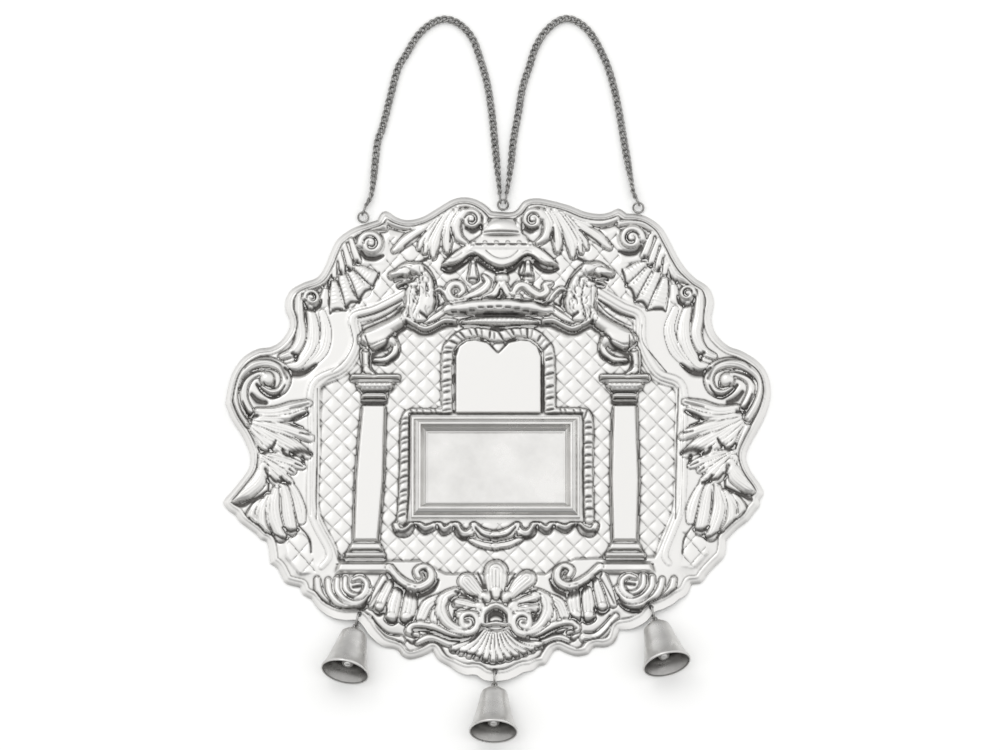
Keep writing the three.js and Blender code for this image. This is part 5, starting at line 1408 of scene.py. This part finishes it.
class SHIELD_OT_plaque(bpy.types.Operator):
    """Build the mitred, stepped frame and the flat plaque inside it"""

    bl_idname = "shield.plaque"
    bl_label = "Plaque and frame"

    def execute(self, context):
        low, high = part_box("plaque_frame")
        middle = (low + high) / 2
        half_x, half_y, rise = (high.x - low.x) / 2, (high.y - low.y) / 2, high.z - low.z
        corner_steps = 14
        points = []
        for side_x, side_y, to_x, to_y in ((-1, -1, 1, -1), (1, -1, 1, 1), (1, 1, -1, 1), (-1, 1, -1, -1)):
            for step in range(corner_steps):
                share = step / corner_steps
                bow = 0.12 * MM * math.sin(2 * math.pi * share + side_x + 2 * side_y)
                for inward, up in MOULDING_SHARES:
                    x_here = half_x - inward * MOULDING_WIDTH
                    y_here = half_y - inward * MOULDING_WIDTH
                    x = (side_x + (to_x - side_x) * share) * x_here
                    y = (side_y + (to_y - side_y) * share) * y_here
                    worn = bow * (0.0 if up in (0, 0.05) or inward == 0 else 1.0)
                    points.append(Vector((middle.x + x, middle.y + y, low.z + up * rise + min(worn, 0))))
        faces = ring_faces(4 * corner_steps, len(MOULDING_SHARES), closed_sides=True)
        silver = material_of(frame_silver)
        piece = add_mesh("plaque_frame_mitred", points, faces, silver, "shield",
                         ["plaque_frame"])
        piece.data.polygons.foreach_set("use_smooth", [False] * len(piece.data.polygons))
        self.add_plaque(silver)
        return {"FINISHED"}

    def add_plaque(self, silver):
        low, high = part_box("plaque_plate")
        cells_x, cells_y = 66, 36
        edge = 0.5 * MM
        points = []
        for j in range(cells_y + 1):
            for i in range(cells_x + 1):
                u, v = i / cells_x, j / cells_y
                x, y = low.x + u * (high.x - low.x), low.y + v * (high.y - low.y)
                inward = min(x - low.x, high.x - x, y - low.y, high.y - y)
                swell = 0.22 * MM * math.sin(math.pi * u) * math.sin(math.pi * v)
                hammer = 0.03 * MM * math.sin(7.3 * u + 4.1 * v) * math.cos(9.7 * v - 3.3 * u)
                z = high.z - 0.25 * MM + swell + hammer - (edge if inward < 1e-6 else 0)
                points.append(Vector((x, y, z)))
        top = ring_faces(cells_y + 1, cells_x + 1, closed_rows=False, closed_sides=False)
        add_mesh("plaque_bare", points, top, silver, "shield", ["plaque_plate"])


# Eyes soldered to the top of the sheet

# Points round an eye or a bell's ring, and round a loop of a staple
RING_STEPS = 48
LOOP_STEPS = 32


class SHIELD_OT_eyes(bpy.types.Operator):
    """Build the three wire eyes that the chains hang from"""

    bl_idname = "shield.eyes"
    bl_label = "Chain eyes"

    def execute(self, context):
        sizes = context.scene.shield_sizes
        silver = material_of(drawn_wire)
        for side in SIDES:
            low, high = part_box(f"{side}_eye")
            centre = (low + high) / 2
            radius = (high.x - low.x) / 2 - sizes.eye_wire
            tilt = math.asin(min(1.0, (high.z - low.z - 2 * sizes.eye_wire) / (2 * radius)))
            up = Vector((0, math.cos(tilt), math.sin(tilt)))
            ring = circle(centre, radius, Vector((1, 0, 0)), up, RING_STEPS)
            points, faces = wire(ring, sizes.eye_wire, 14, True)
            add_mesh(f"{side}_eye_wire", points, faces, silver, "shield", [f"{side}_eye"])
        return {"FINISHED"}


# Chains of curb links

# Height of a link's middle where the chain lies flat, and its gap over the table
FLAT_RISE = 1.3 * MM
CHAIN_GAP = 0.05 * MM
LINK_STEPS = 20
LINK_TWIST = math.radians(45)
# Each chain's route in the drawing, from the outer eye to the centre one
ROUTE_PIXELS = {
    "left": [(371.5, 190), (376.7, 142.9), (381.8, 126.5), (390, 93.9), (397, 67.3), (405, 53), (417.6, 32.7),
             (431.8, 20.4), (446, 16.3), (460.4, 22.4), (472.7, 36.7), (480.8, 59.2), (487, 81.6), (491, 106),
             (493.5, 128), (495.7, 151), (498.2, 177)],
    "right": [(633.5, 190), (625.7, 146.9), (619.6, 110.2), (613.5, 81.6), (605.3, 57), (591, 30.6),
              (574.7, 17.3), (560.4, 17.3), (546, 28.6), (535.9, 44.9), (529.8, 63.3), (522.7, 85.7),
              (518.6, 110.2), (513.5, 138.8), (511.1, 162), (509.2, 177)],
}


def end_link(side, end):
    """The middle of an upright end link, its way along the chain, and half its length and height."""
    low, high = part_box(f"{side}_chain_{end}_link")
    middle = (low + high) / 2
    first = ROUTE_PIXELS[side][0 if end == "outer" else -1]
    along = (on_sheet(first, middle.z) - middle).normalized()
    return middle, along, math.hypot(high.x - low.x, high.y - low.y) / 2, (high.z - low.z) / 2


class SHIELD_OT_chains(bpy.types.Operator):
    """Build both chains from single curb links, and the upright links at their ends"""

    bl_idname = "shield.chains"
    bl_label = "Curb chains"

    def execute(self, context):
        sizes = context.scene.shield_sizes
        steel = material_of(dark_chain)
        for side in ("left", "right"):
            ends = []
            for end in ("outer", "inner"):
                middle, along, half, rise = end_link(side, end)
                self.add_end_link(side, end, middle, along, half, rise, steel, sizes)
                ends.append(middle + along * (half - 1.1 * sizes.chain_wire))
            self.add_chain(side, ends, steel, sizes)
        return {"FINISHED"}

    def add_end_link(self, side, end, middle, along, half, rise, steel, sizes):
        up = Vector((0, 0, 1))
        bend = rise - sizes.end_link_wire
        straight = half - sizes.end_link_wire - bend
        route = []
        for sign, start in ((1, -math.pi / 2), (-1, math.pi / 2)):
            for step in range(13):
                angle = start + math.pi * step / 12
                route.append(middle + along * (sign * straight + bend * math.cos(angle))
                             + up * bend * math.sin(angle))
        points, faces = wire(route, sizes.end_link_wire, 12, True)
        add_mesh(f"{side}_chain_{end}_ring", points, faces, steel, f"{side}_chain",
                 [f"{side}_chain_{end}_link"])

    def add_chain(self, side, ends, steel, sizes):
        route = [ends[0].xy, *(on_sheet((x, y + 1)).xy for x, y in ROUTE_PIXELS[side]), ends[1].xy]
        fine = smooth_curve([tuple(p) for p in route], 24)
        total = np.linalg.norm(np.diff(fine, axis=0), axis=1).sum()
        count = round(total / sizes.chain_pitch)
        places = even_curve([tuple(p) for p in route], 2 * count + 1)
        reach = total / count / 2 + 0.82 * sizes.chain_wire
        half_width = sizes.chain_width / 2 - sizes.chain_wire
        parts = []
        for k in range(count):
            centre = places[2 * k + 1]
            heading = places[2 * k + 2] - places[2 * k]
            heading = Vector((*heading, 0)).normalized()
            from_end = min(k + 0.5, count - k - 0.5) * total / count
            share = min(1.0, from_end / sizes.twist_length)
            twist = math.pi / 2 * (1 - share * share * (3 - 2 * share))
            flat = Vector((-heading.y, heading.x, 0))
            across = flat * math.cos(twist) + Vector((0, 0, 1)) * math.sin(twist)
            up = heading.cross(across)
            lie = half_width + sizes.chain_wire
            height = math.hypot(lie * math.sin(twist), FLAT_RISE * math.cos(twist)) + CHAIN_GAP
            middle = Vector((*centre, height))
            link = self.link_route(middle, heading, across, up, reach, half_width)
            parts.append(wire(link, sizes.chain_wire, 8, True))
        points, faces = together(parts)
        add_mesh(f"{side}_chain_links", points, faces, steel, f"{side}_chain",
                 [f"{side}_chain"])

    def link_route(self, middle, heading, across, up, reach, half_width):
        """A link bent so that its two ends stand square to each other, which lets the chain lie flat."""
        route = []
        for step in range(LINK_STEPS):
            angle = 2 * math.pi * step / LINK_STEPS
            bend = LINK_TWIST * math.cos(angle)
            wide = half_width * math.copysign(abs(math.sin(angle)) ** 0.8, math.sin(angle))
            far = reach * 0.92 * math.copysign(abs(math.cos(angle)) ** 0.9, math.cos(angle))
            route.append(middle + heading * far + across * wide * math.cos(bend) - up * wide * math.sin(bend))
        return route


# Bells, with their rings, staples and clappers

# The bell's outside, as shares of the mouth's radius and of the length from the crown
BELL_SHARES = [(0.075, 0.002), (0.2, 0.0), (0.29, 0.004), (0.32, 0.02), (0.34, 0.04), (0.43, 0.06),
               (0.51, 0.095), (0.55, 0.14), (0.574, 0.195), (0.599, 0.26), (0.627, 0.33), (0.66, 0.41),
               (0.705, 0.5), (0.748, 0.58), (0.785, 0.655), (0.82, 0.73), (0.86, 0.8), (0.905, 0.86),
               (0.945, 0.905), (0.985, 0.945), (1.0, 0.965), (0.998, 0.985), (0.985, 1.0)]
SPIN_STEPS = 64


class SHIELD_OT_bells(bpy.types.Operator):
    """Build the bells, their hanging rings and staples, and their clappers"""

    bl_idname = "shield.bells"
    bl_label = "Bells"

    def execute(self, context):
        sizes = context.scene.shield_sizes
        for side in SIDES:
            hole, hinge = joint(f"{side}_ring_swing")
            loop, tangent = joint(f"{side}_bell_swing")
            pivot, _ = joint(f"{side}_clapper_swing")
            axis = (pivot - loop).normalized()
            across = -hinge
            self.add_ring(side, hinge, sizes)
            self.add_staple(side, loop, pivot, axis, across, sizes)
            crown = loop + axis * (sizes.staple_radius + sizes.staple_wire + sizes.seat_gap)
            self.add_bell(side, crown, axis, across, sizes)
            self.add_clapper(side, pivot, axis, across, sizes)
        return {"FINISHED"}

    def add_ring(self, side, hinge, sizes):
        low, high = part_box(f"{side}_bell_ring")
        middle = (low + high) / 2
        radius = (high.z - low.z) / 2 - sizes.ring_wire
        out = Vector((0, 0, 1)).cross(hinge)
        ring = circle(middle, radius, out, Vector((0, 0, 1)), RING_STEPS)
        points, faces = wire(ring, sizes.ring_wire, 14, True)
        add_mesh(f"{side}_ring_wire", points, faces, material_of(drawn_wire), f"{side}_bell_ring",
                 [f"{side}_bell_ring"])

    def add_staple(self, side, loop, pivot, axis, across, sizes):
        inner = pivot - axis * sizes.staple_radius
        parts = []
        for centre in (loop, inner):
            ring = circle(centre, sizes.staple_radius, axis, across, LOOP_STEPS)
            parts.append(wire(ring, sizes.staple_wire, 10, True))
        start, end = loop + axis * sizes.staple_radius, inner - axis * sizes.staple_radius
        parts.append(wire([start.lerp(end, k / 6) for k in range(7)], sizes.staple_wire, 10, False))
        points, faces = together(parts)
        add_mesh(f"{side}_staple_wire", points, faces, material_of(drawn_wire), f"{side}_bell",
                 [f"{side}_bell_staple"])

    def add_bell(self, side, crown, axis, across, sizes):
        outside = [(r * sizes.bell_radius, a * sizes.bell_length) for r, a in BELL_SHARES]
        inside = [(r - sizes.bell_wall, min(a + sizes.bell_wall * 0.6, sizes.bell_length * 0.995))
                  for r, a in outside[5:]]
        top = (sizes.crown_hole, sizes.bell_wall * 1.3)
        profile = [(sizes.crown_hole, 0.05 * MM), *outside[1:], *inside[::-1], top, (sizes.crown_hole, 0.05 * MM)]
        points, faces = turned(profile, SPIN_STEPS, crown, axis, across)
        bell = add_mesh(f"{side}_bell_turned", points, faces, material_of(turned_silver), f"{side}_bell",
                        [f"{side}_bell"])
        # Painted shade inside the bell, lightest at the mouth and darkest towards the crown
        inner_shade = [*np.linspace(0.35, 1, len(inside)), 1, 0.5]
        painted_shade_inside = [0.0] * (len(profile) - len(inner_shade)) + inner_shade
        mark = bell.data.attributes.new("painted_shade_inside", "FLOAT", "POINT")
        mark.data.foreach_set("value", np.array(painted_shade_inside * SPIN_STEPS, np.float32))

    def add_clapper(self, side, pivot, axis, across, sizes):
        along = axis * math.cos(sizes.clapper_droop)
        aside = across.cross(axis) * math.sin(sizes.clapper_droop)
        down = min(along + aside, along - aside, key=lambda way: way.z)
        side_on = across.cross(down).normalized()
        eye = circle(pivot, sizes.staple_radius, down, side_on, LOOP_STEPS)
        parts = [wire(eye, sizes.staple_wire, 10, True)]
        stem = [pivot + down * (sizes.staple_radius + k / 8 * (sizes.clapper_length - sizes.staple_radius))
                for k in range(9)]
        parts.append(wire(stem, sizes.clapper_wire, 12, False))
        drop = []
        for k in range(25):
            angle = math.pi * k / 24
            swell = 1 + 0.12 * math.cos(angle)
            drop.append((sizes.clapper_drop * math.sin(angle) / swell,
                         sizes.clapper_length - sizes.clapper_drop * math.cos(angle)))
        parts.append(turned(drop, 32, pivot, down, across))
        points, faces = together(parts)
        add_mesh(f"{side}_clapper_turned", points, faces, material_of(turned_silver), f"{side}_clapper",
                 [f"{side}_clapper"])


# Floor, lights and camera

# The light tent is bright overhead and at both sides, greyer beyond the shield's top and darkest
# towards the viewer: how far each axis counts, how it leans, and how bright it is from 0 to 1
TENT_SPAN = (0.85, 0.0, 1.0)
TENT_LEAN = (0.0, 0.22, 0.0)
TENT_GLOW = [(0.0, 0.24), (0.25, 0.3), (0.42, 0.42), (0.58, 0.58), (0.72, 0.78), (0.85, 0.94), (0.96, 1.0)]
TENT_STRENGTH = 1.3
# Gap between the object and the floor, the softbox's place over the shield and its side in metres
FLOOR_GAP = 0.02 * MM
SOFTBOX_PLACE = Vector((-0.9, 1.3, 2.0))
SOFTBOX_SIDE = 1.0
# Width of the picture in drawing pixels, and the drawing point that the camera looks at
PICTURE_WIDTH = 1000
PICTURE_MIDDLE = (500, 375)


class SHIELD_OT_stage(bpy.types.Operator):
    """Build the white floor, the soft lights and the camera"""

    bl_idname = "shield.stage"
    bl_label = "Stage"

    def execute(self, context):
        stage = context.scene.shield_stage
        self.add_floor(stage)
        self.add_world()
        target = on_sheet(PICTURE_MIDDLE)
        self.add_light("key_softbox", target + SOFTBOX_PLACE, target, SOFTBOX_SIDE, stage.key_power)
        self.add_camera(context, target, stage)
        context.scene.view_settings.view_transform = "Standard"
        return {"FINISHED"}

    def add_floor(self, stage):
        half = stage.floor_size / 2
        corners = [(x * half, y * half, -FLOOR_GAP) for x, y in ((-1, -1), (1, -1), (1, 1), (-1, 1))]
        mesh = bpy.data.meshes.new("floor")
        mesh.from_pydata(corners, [], [(0, 1, 2, 3)])
        mesh.materials.append(material_of(floor_paint))
        floor = bpy.data.objects.new("floor", mesh)
        bpy.context.collection.objects.link(floor)

    def add_world(self):
        world = bpy.data.worlds.new("studio")
        world.use_nodes = True
        tree = world.node_tree
        tree.nodes.clear()
        way = add_node(tree, "ShaderNodeTexCoord").outputs["Generated"]
        level = add_node(tree, "ShaderNodeVectorMath", {0: way, 1: TENT_SPAN}, operation="MULTIPLY")
        reach = add_node(tree, "ShaderNodeVectorMath", {0: level.outputs["Vector"]}, operation="LENGTH")
        behind = add_node(tree, "ShaderNodeVectorMath", {0: way, 1: TENT_LEAN}, operation="DOT_PRODUCT")
        share = add_node(tree, "ShaderNodeMath", {0: reach.outputs["Value"], 1: behind.outputs["Value"]})
        glow = ramp(tree, share.outputs[0], TENT_GLOW)
        light = add_node(tree, "ShaderNodeBackground", {"Color": glow, "Strength": TENT_STRENGTH})
        add_node(tree, "ShaderNodeOutputWorld", {"Surface": light.outputs["Background"]})
        bpy.context.scene.world = world

    def add_light(self, name, place, target, size, power):
        light = bpy.data.lights.new(name, "AREA")
        light.shape = "SQUARE"
        light.size = size
        light.energy = power
        lamp = bpy.data.objects.new(name, light)
        lamp.location = place
        lamp.rotation_mode = "QUATERNION"
        lamp.rotation_quaternion = (target - place).to_track_quat("-Z", "Y")
        bpy.context.collection.objects.link(lamp)

    def add_camera(self, context, target, stage):
        camera = bpy.data.cameras.new("camera")
        camera.sensor_width = 36.0
        camera.lens = camera.sensor_width * stage.camera_distance / (PICTURE_WIDTH * PIXEL_X)
        camera.clip_end = 100.0
        back = Vector((0, -math.sin(CAMERA_TILT), math.cos(CAMERA_TILT)))
        eye = bpy.data.objects.new("camera", camera)
        eye.location = target + back * stage.camera_distance
        eye.rotation_mode = "QUATERNION"
        eye.rotation_quaternion = (-back).to_track_quat("-Z", "Y")
        context.collection.objects.link(eye)
        context.scene.camera = eye


# Sizes and colours that a user would change

class ShieldSizes(bpy.types.PropertyGroup):
    grid_spacing: length("Relief grid", "Distance between the points of the chased relief", 0.45, min=0.0002)
    back_spacing: length("Back grid", "Distance between the points of the sheet's back", 1.2, min=0.0004)
    eye_wire: length("Eye wire", "Radius of the wire of the chain eyes", 0.5, min=0.0001)
    chain_wire: length("Chain wire", "Radius of the wire of a curb link", 0.62, min=0.0001)
    chain_width: length("Chain width", "Width of a curb link", 3.8, min=0.001)
    chain_pitch: length("Chain pitch", "Length that each curb link adds", 3.15, min=0.001)
    twist_length: length("Twist length", "Length over which a chain turns from its edge to its flat", 26,
                         min=0.001)
    end_link_wire: length("End link wire", "Radius of the wire of an end link", 0.4, min=0.0001)
    ring_wire: length("Bell ring wire", "Radius of the wire of a bell's ring", 0.5, min=0.0001)
    staple_radius: length("Staple loop", "Radius of a loop of the bell's staple", 1.25, min=0.0002)
    staple_wire: length("Staple wire", "Radius of the staple's wire", 0.4, min=0.0001)
    seat_gap: length("Seat gap", "Gap between pieces that touch", 0.3, min=0)
    bell_radius: length("Bell mouth", "Radius of the bell's mouth", 12.1, min=0.001)
    bell_length: length("Bell length", "Length of the bell from crown to mouth", 24, min=0.002)
    bell_wall: length("Bell wall", "Thickness of the bell", 0.8, min=0.0002)
    crown_hole: length("Crown hole", "Radius of the hole for the staple", 0.8, min=0.0001)
    clapper_wire: length("Clapper stem", "Radius of the clapper's stem", 0.7, min=0.0001)
    clapper_length: length("Clapper length", "Length from the clapper's eye to its drop", 12, min=0.002)
    clapper_drop: length("Clapper drop", "Radius of the clapper's drop", 3, min=0.0005)
    clapper_droop: FloatProperty(name="Clapper droop", description="Angle at which the clapper lies in its bell",
                                 default=math.radians(23.7), subtype="ANGLE")


class ShieldColours(bpy.types.PropertyGroup):
    silver: colour("Silver", "Polished silver", "#D6D5D3")
    dull_silver: colour("Dull silver", "Silver that polishing half reaches", "#B2B1AF")
    strip: colour("Silver strip", "Frame and plaque where the polish has dulled", "#C6C5C3")
    # Dark colour: random tarnish on the wire, patina and painted shade in the sheet's hollows and lines, and
    # painted shade inside the bells
    tarnish_and_shade: colour("Tarnish", "Tarnish in the hollows", "#5A5856")
    bell: colour("Bell silver", "Satin silver of the bells", "#CFCECC")
    dull_bell: colour("Dull bell silver", "Tarnished patches of the bells", "#BEBDBB")
    chain: colour("Chain", "Darkened wire of the chains", "#5C5B5A")
    chain_worn: colour("Worn chain", "Wire of the chains where it is rubbed", "#A3A2A0")
    floor: colour("Floor", "Matt white board", "#F5F5F4")


class ShieldStage(bpy.types.PropertyGroup):
    camera_distance: FloatProperty(name="Camera distance", description="Distance of the camera from the sheet",
                                   default=6.0, unit="LENGTH", min=0.5)
    floor_size: FloatProperty(name="Floor size", description="Side of the square floor", default=8.0,
                              unit="LENGTH", min=1.0)
    key_power: FloatProperty(name="Key power", description="Power of the small light over the shield",
                             default=5.0, unit="POWER", min=0)


class SHIELD_PT_panel(bpy.types.Panel):
    """Sizes, colours and pieces of the shield"""

    bl_idname = "SHIELD_PT_panel"
    bl_label = "Torah Shield"
    bl_space_type = "VIEW_3D"
    bl_region_type = "UI"
    bl_category = "Torah Shield"

    def draw(self, context):
        for group in (context.scene.shield_sizes, context.scene.shield_colours, context.scene.shield_stage):
            box = self.layout.box()
            for name in group.bl_rna.properties.keys():
                if name not in ("name", "rna_type"):
                    box.prop(group, name)
        for operator in BUILD_ORDER:
            self.layout.operator(operator.bl_idname)


BUILD_ORDER = (SHIELD_OT_sheet, SHIELD_OT_plaque, SHIELD_OT_eyes, SHIELD_OT_chains, SHIELD_OT_bells,
               SHIELD_OT_stage)
CLASSES = (ShieldSizes, ShieldColours, ShieldStage, *BUILD_ORDER, SHIELD_PT_panel)


def register():
    for cls in CLASSES:
        bpy.utils.register_class(cls)
    bpy.types.Scene.shield_sizes = PointerProperty(type=ShieldSizes)
    bpy.types.Scene.shield_colours = PointerProperty(type=ShieldColours)
    bpy.types.Scene.shield_stage = PointerProperty(type=ShieldStage)


def unregister():
    del bpy.types.Scene.shield_stage
    del bpy.types.Scene.shield_colours
    del bpy.types.Scene.shield_sizes
    for cls in reversed(CLASSES):
        bpy.utils.unregister_class(cls)


def main():
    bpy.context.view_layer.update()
    register()
    bpy.ops.shield.sheet()
    bpy.ops.shield.plaque()
    bpy.ops.shield.eyes()
    bpy.ops.shield.chains()
    bpy.ops.shield.bells()
    bpy.ops.shield.stage()


if __name__ == "__main__":
    main()
